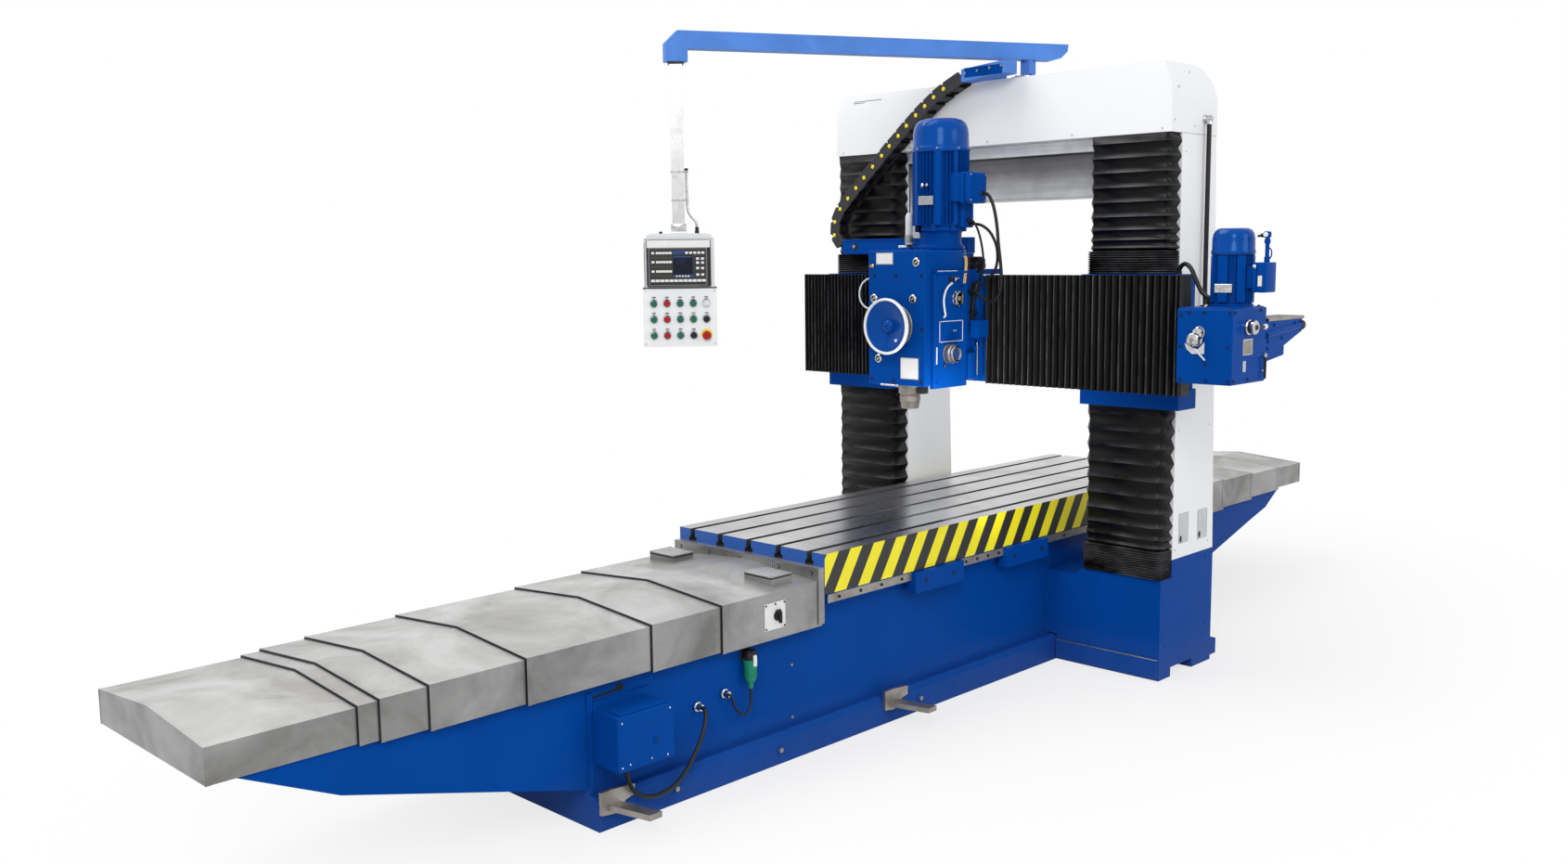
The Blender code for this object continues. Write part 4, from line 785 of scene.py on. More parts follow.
def build_pattern_tree():
    given_values = (("Points", "Geometry"), ("Pattern", "Object"), ("Size", "Float"), ("Finish", "Material"))
    tree, given, result = geometry_tree("pattern_on_points", given_values, "Copies")
    pattern = tree.nodes.new("GeometryNodeObjectInfo")
    turn = add_node(tree, "GeometryNodeInputNamedAttribute", data_type="FLOAT_VECTOR", Name="turn")
    turned_by = tree.nodes.new("FunctionNodeEulerToRotation")
    copies = tree.nodes.new("GeometryNodeInstanceOnPoints")
    link(tree, given["Pattern"], pattern.inputs["Object"])
    link(tree, turn.outputs["Attribute"], turned_by.inputs[0])
    link(tree, given["Points"], copies.inputs["Points"])
    link(tree, pattern.outputs["Geometry"], copies.inputs["Instance"])
    link(tree, turned_by.outputs[0], copies.inputs["Rotation"])
    link(tree, given["Size"], copies.inputs["Scale"])
    return close_tree(tree, copies.outputs[0], given["Finish"], result)


pattern_on_points = build_pattern_tree()


def evaluated_mesh(item, tree, inputs):
    """Run a tree on an object with its named inputs, and keep the result as a plain mesh."""
    modifier = item.modifiers.new("nodes", "NODES")
    modifier.node_group = tree
    for socket in tree.interface.items_tree:
        if socket.item_type == "SOCKET" and socket.name in inputs:
            modifier[socket.identifier] = inputs[socket.name]
    mesh = bpy.data.meshes.new_from_object(item.evaluated_get(bpy.context.evaluated_depsgraph_get()))
    item.modifiers.remove(modifier)
    item.data = mesh
    rounded(mesh)
    return item


def repeat(name, shape, places, finish):
    """Set a pattern at each place, through the tree, and give back one plain object."""
    bmesh.ops.recalc_face_normals(shape, faces=shape.faces)
    pattern_mesh = bpy.data.meshes.new("pattern")
    shape.to_mesh(pattern_mesh)
    shape.free()
    pattern = put_in_scene("pattern", pattern_mesh)
    points = bpy.data.meshes.new(name)
    points.from_pydata([tuple(place.translation) for place in places], [], [])
    turn = points.attributes.new("turn", "FLOAT_VECTOR", "POINT")
    turn.data.foreach_set("vector", [value for place in places for value in place.to_euler("XYZ")])
    item = put_in_scene(name, points)
    evaluated_mesh(item, pattern_on_points, {"Pattern": pattern, "Size": 1.0, "Finish": finish})
    bpy.data.objects.remove(pattern, do_unlink=True)
    PIECES.append(item)
    return item


def cap_screw(radius=0.008):
    """Socket head with a six-sided hole, its top towards local z."""
    return turned_shape([(0, -0.0005), (radius, -0.0005), (radius, radius * 0.55), (radius * 0.9, radius * 0.68),
        (radius * 0.55, radius * 0.68), (radius * 0.5, radius * 0.2), (0, radius * 0.2)], 12)


def dome(radius=0.004):
    """Low rounded rivet."""
    return turned_shape([(0, -0.0004), (radius, -0.0004), (radius * 0.85, radius * 0.35),
        (radius * 0.45, radius * 0.6), (0, radius * 0.68)], 10)


print("the tree for repeated patterns is ready")

# %% [markdown]
# The four free cords come early, because their lengths and places are checked as facts:
# the motor's cable on the head, the two cables at the bed, and the long hose from the column
# to the feed gearbox. Each is a smooth tube along the same route as its solid.

# %% Free cords
MOTOR_LEAD = [(0.2205, -0.34, 2.33), (0.236, -0.34, 2.33), (0.262, -0.338, 2.312), (0.284, -0.334, 2.262),
    (0.3, -0.33, 2.18), (0.31, -0.328, 2.08), (0.322, -0.326, 1.985), (0.326, -0.325, 1.902),
    (0.31, -0.325, 1.84), (0.272, -0.325, 1.812), (0.226, -0.325, 1.818), (0.188, -0.325, 1.846),
    (0.16, -0.325, 1.86), (0.1297, -0.325, 1.86)]
CONDUIT = [(0.486, -2.815, 0.2145), (0.486, -2.815, 0.2), (0.487, -2.808, 0.165), (0.488, -2.78, 0.12),
    (0.488, -2.725, 0.088), (0.487, -2.66, 0.078), (0.485, -2.59, 0.092), (0.482, -2.525, 0.135),
    (0.477, -2.47, 0.195), (0.47, -2.428, 0.255), (0.456, -2.402, 0.305), (0.44, -2.395, 0.327),
    (0.4255, -2.395, 0.327)]
PLUG_LEAD = [(0.424, -2.13, 0.3427), (0.424, -2.13, 0.325), (0.425, -2.132, 0.3), (0.428, -2.142, 0.268),
    (0.432, -2.168, 0.25), (0.435, -2.2, 0.258), (0.437, -2.228, 0.29), (0.438, -2.246, 0.326),
    (0.434, -2.252, 0.345), (0.4255, -2.252, 0.345)]
HOSE = [(1.05, 0.31, 2.6317), (1.05, 0.31, 2.61), (1.05, 0.31, 2.45), (1.05, 0.31, 2.25), (1.05, 0.31, 2.05),
    (1.051, 0.309, 1.9), (1.057, 0.302, 1.8), (1.08, 0.278, 1.715), (1.125, 0.236, 1.66), (1.19, 0.184, 1.63),
    (1.25, 0.136, 1.618), (1.296, 0.096, 1.615), (1.315, 0.062, 1.615), (1.318, 0.036, 1.615),
    (1.318, 0.0183, 1.615)]


def resample(line, count):
    """Points at an even spacing along a line."""
    total = length_of(line)
    made, walked, k = [], 0.0, 0
    for i in range(count + 1):
        want = total * i / count
        while k < len(line) - 2 and walked + (line[k + 1] - line[k]).length < want:
            walked += (line[k + 1] - line[k]).length
            k += 1
        span = (line[k + 1] - line[k]).length
        made.append(line[k].lerp(line[k + 1], min(1.0, (want - walked) / span)))
    return made


def free_cord(name, node, line, radius, rib):
    """A plain rubber tube, or a ribbed conduit where rib gives the ribs' pitch."""
    piece = Piece(name)
    if rib:
        fine = resample(line, int(length_of(line) / rib) * 2)
        piece.tube(fine, [radius * (1.0 if k % 2 else 0.9) for k in range(len(fine))], black_rubber, 12)
    else:
        piece.tube(line, radius, black_rubber, 16)
    item = piece.make(80)
    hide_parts(node)
    return item


for name, node, route, radius, body, rib in (
        ("motor_cable", "motor_lead", MOTOR_LEAD, 0.008, "head", 0.0),
        ("box_conduit", "conduit", CONDUIT, 0.0085, "frame", 0.006),
        ("plug_cable", "plug_lead", PLUG_LEAD, 0.005, "frame", 0.0),
        ("feed_hose", "column_hose", HOSE, 0.011, None, 0.0)):
    line = smooth_route(route)
    item = free_cord(name, node, line, radius, rib)
    if body:
        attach(item, body)
    else:
        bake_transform(item)
    declare_cord(item, line, route[0])

# %% [markdown]
# The black guards of the columns are pleated cloth on stiff frames. Each is open in one stretch and packed
# in another, and at its two front corners every fold turns inside out, which gives small three-sided gussets.
# A guard is skinned through rings, one for each ridge and each valley, at the pitches measured in the photograph.

# %% Column guards
OUTER, INNER = 1.026, 0.6
GUARD_PEAK, GUARD_REAR, WALL = -0.015, 0.1037, 0.036
UPPER_HIGH, UPPER_LOW = 2.5847, 1.9383
LOWER_HIGH, LOWER_LOW = 1.3147, 0.4903
OPEN_FOLD = 0.03     # a fold with a larger pitch stands open


def guard_ring(side, z, inset, chamfer):
    out, inn, front = OUTER - inset, INNER + inset, GUARD_PEAK + inset
    wall_out, wall_in, wall_front = OUTER - WALL, INNER + WALL, GUARD_PEAK + WALL
    plan = [(inn, GUARD_REAR), (inn, front + chamfer), (inn + chamfer, front), (out - chamfer, front),
        (out, front + chamfer), (out, GUARD_REAR), (wall_out, GUARD_REAR), (wall_out, wall_front + 0.01),
        (wall_out - 0.01, wall_front), (wall_in + 0.01, wall_front), (wall_in, wall_front + 0.01),
        (wall_in, GUARD_REAR)]
    return [(side * x, y, z) for x, y in plan]


def guard_rings(side, low, high, pitches):
    """Rings from the top down: each fold is a valley, a face, a rounded ridge and a face."""
    scale = (high - low) / sum(pitches)
    rings = [guard_ring(side, high, 0.014, 0.004)]
    z = high
    for pitch in pitches:
        depth = 0.02 if pitch > OPEN_FOLD else 0.011
        pitch *= scale
        ridge, soft_edge = z - pitch * 0.56, min(0.0025, pitch * 0.18)
        chamfer = 0.034 if pitch > OPEN_FOLD else 0.012
        for lift, inset in ((soft_edge, 0.0014), (0.0, 0.0), (-soft_edge, 0.0014)):
            rings.append(guard_ring(side, ridge + lift, inset, chamfer))
        z -= pitch
        rings.append(guard_ring(side, max(z, low), depth, 0.003))
    return rings


UPPER_PITCH = [0.072] * 6 + [0.058, 0.044, 0.034] + [0.0115] * 10
LOWER_PITCH = [0.078] * 6 + [0.074, 0.066, 0.05, 0.034] + [0.0115] * 12
for side, word in ((1, "right"), (-1, "left")):
    for level, low, high, pitches, moves in (
            ("upper", UPPER_LOW, UPPER_HIGH, UPPER_PITCH, (UPPER_HIGH, UPPER_LOW)),
            ("lower", LOWER_LOW, LOWER_HIGH, LOWER_PITCH, (LOWER_LOW, LOWER_HIGH))):
        piece = Piece("guard_%s_%s_folds" % (level, word))
        piece.skin(guard_rings(side, low, high, pitches), top_lit_cloth)
        item = piece.make(50)
        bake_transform(item)
        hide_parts("guard_%s_%s" % (level, word))
print("four column guards,", len(UPPER_PITCH), "and", len(LOWER_PITCH), "folds")

# %% [markdown]
# The crossrail's front is covered by the same cloth in upright pleats, one guard on each side of the head.
# Their ridges catch the light, so each ridge has a small rounded edge instead of a sharp one, and the finish
# paints a highlight along each ridge.

# %% Crossrail guards
RAIL_LOW, RAIL_HIGH = 1.404, 1.938
PLEAT_FRONT, PLEAT_BACK = -0.25, -0.2223


def pleat_outline(left, right, count):
    """Plan of the pleats from left to right, then along the straight back."""
    pitch = (right - left) / count
    line = []
    for i in range(count):
        start = left + pitch * i
        deep = PLEAT_FRONT + 0.0205 - 0.0012 * sin(i * 2.4)
        ridge = PLEAT_FRONT + 0.0008 * (1 + sin(i * 1.7))
        line += [(start, deep), (start + pitch * 0.4, ridge + 0.0022), (start + pitch * 0.5, ridge),
            (start + pitch * 0.6, ridge + 0.0022)]
    line.append((right, PLEAT_FRONT + 0.02))
    return line + [(right, PLEAT_BACK), (left, PLEAT_BACK)]


for word, left, right, count, moves in (
        ("left", -1.06, -0.198, 35, (-1.06, -0.198)),
        ("right", 0.166, 1.222, 30, (1.222, 0.166))):
    piece = Piece("rail_guard_%s_folds" % word)
    piece.plate(pleat_outline(left, right, count), RAIL_LOW, RAIL_HIGH, ridge_highlight_cloth)
    item = piece.make(50)
    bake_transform(item)
    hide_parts("rail_guard_" + word)
print("two crossrail guards")

# %% [markdown]
# The energy chain guides the head's cables. Its links are moulded side plates with rounded ends,
# joined by bars, and each joint carries a yellow plug. The joints' places were read from the yellow plugs.
# Each link is built between two joints, and the tree sets a yellow plug on both sides of the joints.
# The chain is made in two stretches, split at one joint.

# %% Energy chain
CHAIN_JOINTS = [(-0.195, 2.8725), (-0.258, 2.8365), (-0.316, 2.797), (-0.375, 2.755), (-0.437, 2.706),
    (-0.493, 2.658), (-0.554, 2.609), (-0.607, 2.562), (-0.67, 2.508), (-0.732, 2.453), (-0.79, 2.4),
    (-0.849, 2.346), (-0.907, 2.291), (-0.946, 2.222), (-0.95, 2.15), (-0.905, 2.0955)]
CHAIN_TOP_END = (-0.088, 2.921)
CHAIN_SPLIT = 7
CHAIN_FRONT, CHAIN_REAR, CHAIN_TALL = -0.11, -0.025, 0.07
UPPER_START, CHAIN_BEND, LOWER_END = (-0.1, -0.068, 2.92), (-0.607, -0.068, 2.562), (-0.905, -0.068, 2.0955)
SIDEWAYS = Vector((0, 1, 0))


def link_side(length):
    """Outline of a side plate: straight edges and rounded ends."""
    half, reach, steps = CHAIN_TALL / 2 - 0.0015, length / 2 + 0.006, 6
    outline = []
    for end in (1, -1):
        for k in range(steps + 1):
            angle = radians(-65 + 130 * k / steps)
            outline.append((end * (reach - half * 0.55 + half * 0.55 * cos(angle)),
                end * half * sin(angle) / sin(radians(65))))
    return outline


def chain_stretch(name, line):
    piece = Piece(name)
    for k, ends in enumerate(zip(line, line[1:])):
        a, b = (Vector((x, 0, z)) for x, z in ends)
        along, middle = b - a, (a + b) / 2
        turn = Matrix((along.normalized(), SIDEWAYS, along.normalized().cross(SIDEWAYS))).transposed().to_4x4()
        out = 0.0 if k % 2 else 0.0016
        for y, low, high in ((CHAIN_FRONT, -0.009 + out, -out), (CHAIN_REAR, out, 0.009 - out)):
            place = Matrix.Translation(middle + SIDEWAYS * y) @ turn @ Matrix.Rotation(radians(90), 4, "X")
            piece.plate(link_side(along.length - 0.004), low, high, chain_grey, place, 0.0012)
        place = Matrix.Translation(middle + SIDEWAYS * ((CHAIN_FRONT + CHAIN_REAR) / 2)) @ turn
        for height in (0.03, -0.03):
            piece.block((-0.02, -0.0335, height - 0.0035), (0.02, 0.0335, height + 0.0035), black_nylon, 0.001,
                place)
        piece.block((-along.length / 2, -0.026, -0.02), (along.length / 2, 0.026, 0.02), black_rubber, 0.006,
            place, 2)
    return piece.make()


upper_chain = chain_stretch("chain_upper_links", [CHAIN_TOP_END] + CHAIN_JOINTS[:CHAIN_SPLIT + 1])
lower_chain = chain_stretch("chain_lower_links", CHAIN_JOINTS[CHAIN_SPLIT:])
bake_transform(upper_chain)
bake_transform(lower_chain)
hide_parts("chain_upper")
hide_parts("chain_lower")
plug_profile = [(0, -0.0005), (0.0105, -0.0005), (0.0105, 0.0014), (0.009, 0.0024), (0, 0.0028)]
for word, joints, bodies, start, end in (
        ("upper", CHAIN_JOINTS[:CHAIN_SPLIT], ("frame", "rail"), UPPER_START, CHAIN_BEND),
        ("lower", CHAIN_JOINTS[CHAIN_SPLIT:-1], ("rail", "head"), CHAIN_BEND, LOWER_END)):
    places = [to_front(x, CHAIN_FRONT, z) for x, z in joints]
    places += [facing((x, CHAIN_REAR, z), (0, 1, 0)) for x, z in joints]
    dots = repeat("chain_%s_plugs" % word, turned_shape(plug_profile, 20), places, yellow_plastic)
    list(bodies)
    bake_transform(dots)
print(len(CHAIN_JOINTS), "chain joints")

# %% [markdown]
# Both motors are finned so that they shed heat. The fins are one thin blade repeated round the body,
# so a second tree sets a blade on each point of a circle, turns it outwards and makes it real.
# The rest of a motor is turned: foot, waist, flange, body, and the fan's cowl with its lip and rounded top.

# %% Tree: blades round a drum
def build_blade_tree():
    tree, given, result = geometry_tree("blades_round_a_drum", (("Drum", "Geometry"), ("Count", "Int"),
        ("Reach", "Float"), ("Blade", "Vector"), ("Centre", "Vector"), ("Turn", "Vector"),
        ("Finish", "Material")), "Blades")
    circle = tree.nodes.new("GeometryNodeMeshCircle")
    blade = tree.nodes.new("GeometryNodeMeshCube")
    number = tree.nodes.new("GeometryNodeInputIndex")
    upright_turn = tree.nodes.new("ShaderNodeCombineXYZ")
    turned_by = tree.nodes.new("FunctionNodeEulerToRotation")
    copies = tree.nodes.new("GeometryNodeInstanceOnPoints")
    placed = tree.nodes.new("GeometryNodeTransform")
    link(tree, given["Count"], circle.inputs["Vertices"])
    link(tree, given["Reach"], circle.inputs["Radius"])
    link(tree, given["Blade"], blade.inputs["Size"])
    share = math_node(tree, "DIVIDE", number.outputs[0], given["Count"])
    link(tree, math_node(tree, "MULTIPLY", share, 2 * pi), upright_turn.inputs["Z"])
    link(tree, upright_turn.outputs[0], turned_by.inputs[0])
    link(tree, circle.outputs[0], copies.inputs["Points"])
    link(tree, blade.outputs[0], copies.inputs["Instance"])
    link(tree, turned_by.outputs[0], copies.inputs["Rotation"])
    link(tree, copies.outputs[0], placed.inputs["Geometry"])
    link(tree, given["Centre"], placed.inputs["Translation"])
    link(tree, given["Turn"], placed.inputs["Rotation"])
    return close_tree(tree, placed.outputs[0], given["Finish"], result)


blades_round_a_drum = build_blade_tree()


def blades(name, count, reach, blade, centre, finish, turn=(0.0, 0.0, 0.0)):
    mesh = bpy.data.meshes.new(name)
    mesh.from_pydata([(0, 0, 0)], [], [])
    item = put_in_scene(name, mesh)
    evaluated_mesh(item, blades_round_a_drum, {"Count": count, "Reach": reach, "Blade": blade, "Centre": centre,
        "Turn": turn, "Finish": finish})
    PIECES.append(item)
    return item


# %% Main motor on the head
MOTOR_X, MOTOR_Y = -0.011, -0.365
FINS_LOW, FINS_HIGH, COWL_TOP = 2.1755, 2.54, 2.6925
motor = Piece("main_motor")
axis = upright(MOTOR_X, MOTOR_Y)
motor.turned([(0.112, 2.0625), (0.118, 2.066), (0.118, 2.078), (0.112, 2.084), (0.1045, 2.088), (0.103, 2.096),
    (0.103, 2.142), (0.108, 2.15), (0.118, 2.1545), (0.118, 2.17), (0.1155, 2.1725), (0.1165, FINS_LOW),
    (0.1165, FINS_HIGH)], blue_paint, axis, 64)
motor.turned([(0.134, FINS_HIGH - 0.01), (0.1415, FINS_HIGH - 0.006), (0.143, FINS_HIGH),
    (0.143, FINS_HIGH + 0.012), (0.1405, FINS_HIGH + 0.016), (0.1375, FINS_HIGH + 0.022),
    (0.136, FINS_HIGH + 0.08), (0.132, FINS_HIGH + 0.106), (0.122, FINS_HIGH + 0.13), (0.106, FINS_HIGH + 0.145),
    (0.084, COWL_TOP), (0.0, COWL_TOP + 0.0005)], gloss_blue, axis, 72)
for spread, wide in ((-112, 0.03), (-58, 0.034), (-20, 0.026), (65, 0.03), (150, 0.03)):
    flat = axis @ spin(spread)
    low, high = (0.108, -wide / 2, FINS_LOW + 0.004), (0.1395, wide / 2, FINS_HIGH - 0.004)
    motor.block(low, high, blue_paint, 0.003, flat)
for spread in (-135, -90, -45, 0, 135, 180, 225):
    ear = axis @ spin(spread + 22)
    motor.block((0.104, -0.013, 2.15), (0.129, 0.013, 2.182), blue_paint, 0.004, ear)
    motor.turned(stud(0.0085, 2.182, 2.188, 2.1885), bare_steel, ear @ upright(0.121, 0), 6)
motor.block((0.08, -0.385, 2.168), (0.138, -0.293, 2.3), blue_paint, 0.006)
motor.block((0.086, -0.437, 2.29), (0.16, -0.302, 2.428), blue_paint, 0.01, None, 2)
motor.block((0.158, -0.442, 2.281), (0.186, -0.297, 2.431), blue_paint, 0.012, None, 3)
motor.block((0.187, -0.442, 2.281), (0.2195, -0.297, 2.431), blue_paint, 0.014, None, 3)
motor.turned([(0.014, 0.0), (0.014, 0.01), (0.011, 0.016), (0.0095, 0.018)], black_nylon,
    to_right(0.207, -0.34, 2.33), 20)
motor.tube([(0.02, -0.502, 2.372), (0.02, -0.516, 2.373)], 0.0075, bright_metal, 12)
motor.turned([(0.0095, 0), (0.0095, 0.006), (0.006, 0.009)], bright_metal,
    facing((-0.012, -0.504, 2.372), (-0.1, -1, 0)), 16)
motor_item = motor.on("head", "head_motor")
FIN_HEIGHT = FINS_HIGH - FINS_LOW - 0.01
fins = blades("main_motor_fins", 44, 0.126, (0.026, 0.0034, FIN_HEIGHT),
    (MOTOR_X, MOTOR_Y, (FINS_HIGH + FINS_LOW) / 2), blue_paint)
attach(fins, "head")
lip_screws = [axis @ spin(a) @ to_right(0.1425, 0, FINS_HIGH + 0.006) for a in (-150, -105, -60, -15, 60, 120)]
box_screws = [to_right(0.2193, y, z) for y in (-0.428, -0.311) for z in (2.296, 2.416)]
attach(repeat("main_motor_screws", dome(0.0055), lip_screws + box_screws, bare_steel), "head")
plate = Piece("main_motor_plate")
plate.block((-0.034, -0.5065, 2.278), (0.047, -0.5045, 2.32), label_plate, 0.0006, spin_at(0.006, -0.5055, 8))
plate.on("head")
print("main motor:", len(motor_item.data.polygons), "faces without its fins")

# %% [markdown]
# The gearbox is a casting with a thick front plate. Its upper part stands higher than its right-hand cover,
# and it's modelled here as a block with well rounded edges, like a painted casting.

# %% Gearbox castings and cover
casting = Piece("gearbox_casting")
casting.block((-0.181, -0.69, 1.95), (0.147, -0.3745, 2.0605), blue_paint, 0.016, None, 4)
casting.block((0.1, -0.69, 1.44), (0.1545, -0.662, 2.02), blue_paint, 0.008, None, 3)
casting.block((0.1585, -0.642, 1.4035), (0.1665, -0.628, 1.9605), blue_paint, 0.003, None, 2)
casting.block((0.1585, -0.642, 1.948), (0.1665, -0.3745, 1.9605), blue_paint, 0.003, None, 2)
casting.block((-0.05, -0.6, 2.055), (0.11, -0.42, 2.0623), blue_paint, 0.003)
casting.on("head")

# %% Fittings on the gearbox's front
FRONT = -0.7


def front(x, z, off=0.0):
    return to_front(x, FRONT - off, z)


PLUG = [(0.0, -0.001), (0.021, -0.001), (0.021, 0.004), (0.018, 0.007), (0.013, 0.008), (0.012, 0.003),
    (0.0, 0.003)]
fittings = Piece("front_fittings")
for x0, x1, z0, z1 in ((-0.142, -0.035, 1.994, 2.051), (0.01, 0.121, 1.449, 1.553)):
    fittings.block((x0, FRONT - 0.0016, z0), (x1, FRONT + 0.001, z1), label_plate, 0.0005)
    fittings.block((x0 + 0.004, FRONT - 0.002, z0 + 0.004), (x1 - 0.004, FRONT, z1 - 0.004), white_plastic,
        0.0004)
    for x, z in ((x0 + 0.003, z0 + 0.003), (x1 - 0.003, z0 + 0.003), (x0 + 0.003, z1 - 0.003),
            (x1 - 0.003, z1 - 0.003)):
        fittings.turned(stud(0.0018, 0.001, 0.0024, 0.003), bare_steel, front(x, z), 8)
# Each plug's centre and the notch beside its slot are near-black, painted shade in its hollows.
for x, z in ((0.107, 2.005), (-0.154, 1.832), (0.087, 1.832), (-0.127, 1.542)):
    fittings.turned(PLUG, bright_metal, front(x, z), 28)
    fittings.turned(stud(0.0125, 0.0028, 0.0034, 0.0036), seam_and_shade_black, front(x, z), 20)
    slot = front(x, z) @ spin(40)
    fittings.block((-0.0085, -0.0035, 0.003), (0.0085, 0.0035, 0.0075), bright_metal, 0.001, slot)
    fittings.block((0.017, -0.009, 0.0), (0.024, 0.009, 0.0045), seam_and_shade_black, 0.001, slot)
fittings.turned([(0.009, -0.001), (0.009, 0.004), (0.005, 0.008), (0.005, 0.014), (0.007, 0.016), (0.0, 0.018)],
    brass, front(-0.163, 1.988), 12)
fittings.block((-0.114, FRONT - 0.004, 1.4115), (-0.001, FRONT + 0.006, 1.4195), bright_metal, 0.001)
fittings.block((-0.118, FRONT - 0.0006, 1.9165), (0.104, FRONT + 0.0002, 1.9175), seam_and_shade_black, 0.0)
fittings.turned([(0.101, -0.001), (0.101, 0.004), (0.0985, 0.006), (0.0985, 0.016), (0.104, 0.017),
    (0.104, 0.0395), (0.0985, 0.0415)], bare_steel, front(-0.016, 1.703), 72)
fittings.on("head")
scale_marks = blades("drum_scale", 60, 0.1038, (0.0014, 0.0016, 0.018), (-0.016, FRONT - 0.028, 1.703),
    bright_metal, (radians(90), 0, 0))
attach(scale_marks, "head")
FRONT_SCREWS = [(-0.154, 1.943), (-0.019, 1.944), (0.137, 1.941), (-0.169, 1.441), (-0.03, 1.436), (0.137, 1.436),
    (-0.174, 1.69), (0.143, 1.69)]
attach(repeat("front_screws", cap_screw(0.0075), [front(x, z) for x, z in FRONT_SCREWS], black_nylon), "head")

oil_line = smooth_route([(-0.1915, -0.65, 1.93), (-0.205, -0.652, 1.93), (-0.236, -0.66, 1.922),
    (-0.262, -0.668, 1.898), (-0.272, -0.674, 1.862), (-0.264, -0.678, 1.822), (-0.24, -0.676, 1.792),
    (-0.206, -0.672, 1.778), (-0.1915, -0.67, 1.777)], 5)
oil_tube = Piece("oil_tube")
oil_tube.tube(oil_line, 0.0042, clear_hose, 12)
declare_cord(oil_tube.on("head"), oil_line, oil_line[0])

# %% [markdown]
# The handwheel is a deep painted dish with a bright turned rim. Both are turned shapes,
# and the hub, its screw and the small grip hole's plug tell that it turns.

# %% Handwheel
WHEEL_X, WHEEL_Z, WHEEL_BACK = -0.016, 1.703, -0.7423
wheel = Piece("handwheel_dish")
turning = to_front(WHEEL_X, WHEEL_BACK, WHEEL_Z)
wheel.turned([(0.0, 0.0005), (0.056, 0.0005), (0.06, 0.006), (0.1, 0.022), (0.1215, 0.03), (0.1215, 0.0375),
    (0.112, 0.037), (0.09, 0.0285), (0.06, 0.0175), (0.042, 0.0125), (0.036, 0.012), (0.034, 0.016),
    (0.0325, 0.022), (0.0295, 0.026), (0.025, 0.03), (0.018, 0.0345), (0.012, 0.0375), (0.0, 0.0385)], gloss_blue,
    turning, 96)
rim = [(0.1275 + 0.0068 * cos(a), 0.035 + 0.0125 * sin(a)) for a in (2 * pi * k / 14 for k in range(14))]
wheel.turned(rim, white_plastic, turning, 96, ring=True)
wheel.turned([(0.0085, 0.037), (0.0085, 0.0415), (0.0075, 0.0428), (0.0, 0.043)], blue_paint, turning, 6)
wheel.turned([(0.0075, 0.026), (0.0075, 0.0325), (0.005, 0.036), (0.0, 0.037)], white_plastic, turning
    @ upright(0.058, -0.066), 16)
wheel.turned([(0.104, 0.0235), (0.1215, 0.0295), (0.1215, 0.0302), (0.104, 0.0243)], bright_metal, turning, 72,
    ring=True)
wheel.on("handwheel", "handwheel")

# %% Fittings on the gearbox's right-hand cover
SIDE, SHIFT = 0.1605, 0.012


def side(y, z, off=0.0):
    return to_right(SIDE + off, y + SHIFT, z)


def side_box(piece, y0, y1, z0, z1, out, finish, bevel=0.0006):
    piece.block((SIDE - 0.001, y0 + SHIFT, z0), (SIDE + out, y1 + SHIFT, z1), finish, bevel)


cover = Piece("cover_fittings")
side_box(cover, -0.62, -0.472, 1.953, 1.963, 0.004, white_plastic)
side_box(cover, -0.628, -0.622, 1.52, 1.601, 0.003, white_plastic)
for y0, y1, z0, z1 in ((-0.603, -0.421, 1.7205, 1.7235), (-0.603, -0.421, 1.623, 1.626),
        (-0.603, -0.6, 1.623, 1.7235), (-0.424, -0.421, 1.623, 1.7235)):
    side_box(cover, y0, y1, z0, z1, 0.0012, white_plastic, 0.0002)
side_box(cover, -0.494, -0.489, 1.672, 1.678, 0.001, white_plastic, 0.0)
side_box(cover, -0.478, -0.473, 1.672, 1.678, 0.001, white_plastic, 0.0)
cover.turned([(0.016, -0.001), (0.016, 0.004), (0.012, 0.005), (0.0, 0.005)], black_nylon, side(-0.52, 1.921), 20)
cover.turned([(0.01, -0.001), (0.01, 0.012), (0.006, 0.016), (0.006, 0.02), (0.009, 0.024), (0.0, 0.028)],
    bright_metal, side(-0.49, 1.921), 16)
pipe = smooth_route([(0.002, -0.519, 1.904), (0.014, -0.524, 1.903), (0.02, -0.56, 1.89), (0.022, -0.588, 1.862),
    (0.022, -0.599, 1.824), (0.021, -0.592, 1.782), (0.016, -0.578, 1.752), (0.002, -0.572, 1.742)])
cover.tube([(SIDE + x, y + SHIFT, z) for x, y, z in pipe], 0.0048, white_plastic, 12)
dial = side(-0.474, 1.829)
cover.turned([(0.037, -0.001), (0.037, 0.006), (0.034, 0.009), (0.034, 0.022), (0.03, 0.026), (0.027, 0.026),
    (0.026, 0.022), (0.0, 0.022)], bright_metal, dial, 32)
for k in range(8):
    cover.block((-0.004, 0.026, 0.006), (0.004, 0.039, 0.021), bright_metal, 0.0015, dial @ spin(45 * k))
cover.block((-0.01, -0.01, 0.02), (0.01, 0.01, 0.03), bare_steel, 0.002, dial)
cover.turned(stud(0.0045, 0, 0.005, 0.006), bright_metal, side(-0.438, 1.89), 12)
knob = side(-0.533, 1.566)
cover.turned([(0.046, -0.001), (0.046, 0.004), (0.0425, 0.006), (0.0425, 0.016), (0.045, 0.018), (0.045, 0.03),
    (0.04, 0.036), (0.04, 0.046), (0.037, 0.05), (0.029, 0.05), (0.027, 0.046), (0.0, 0.045)], bare_steel, knob,
    48)
cover.turned([(0.03, 0.05), (0.0385, 0.0492), (0.0385, 0.0512), (0.036, 0.0535), (0.032, 0.0535), (0.03, 0.052)],
    bright_metal, knob, 48, ring=True)
cover.turned(stud(0.0265, 0.0455, 0.047, 0.0485), blue_strip, knob, 32)
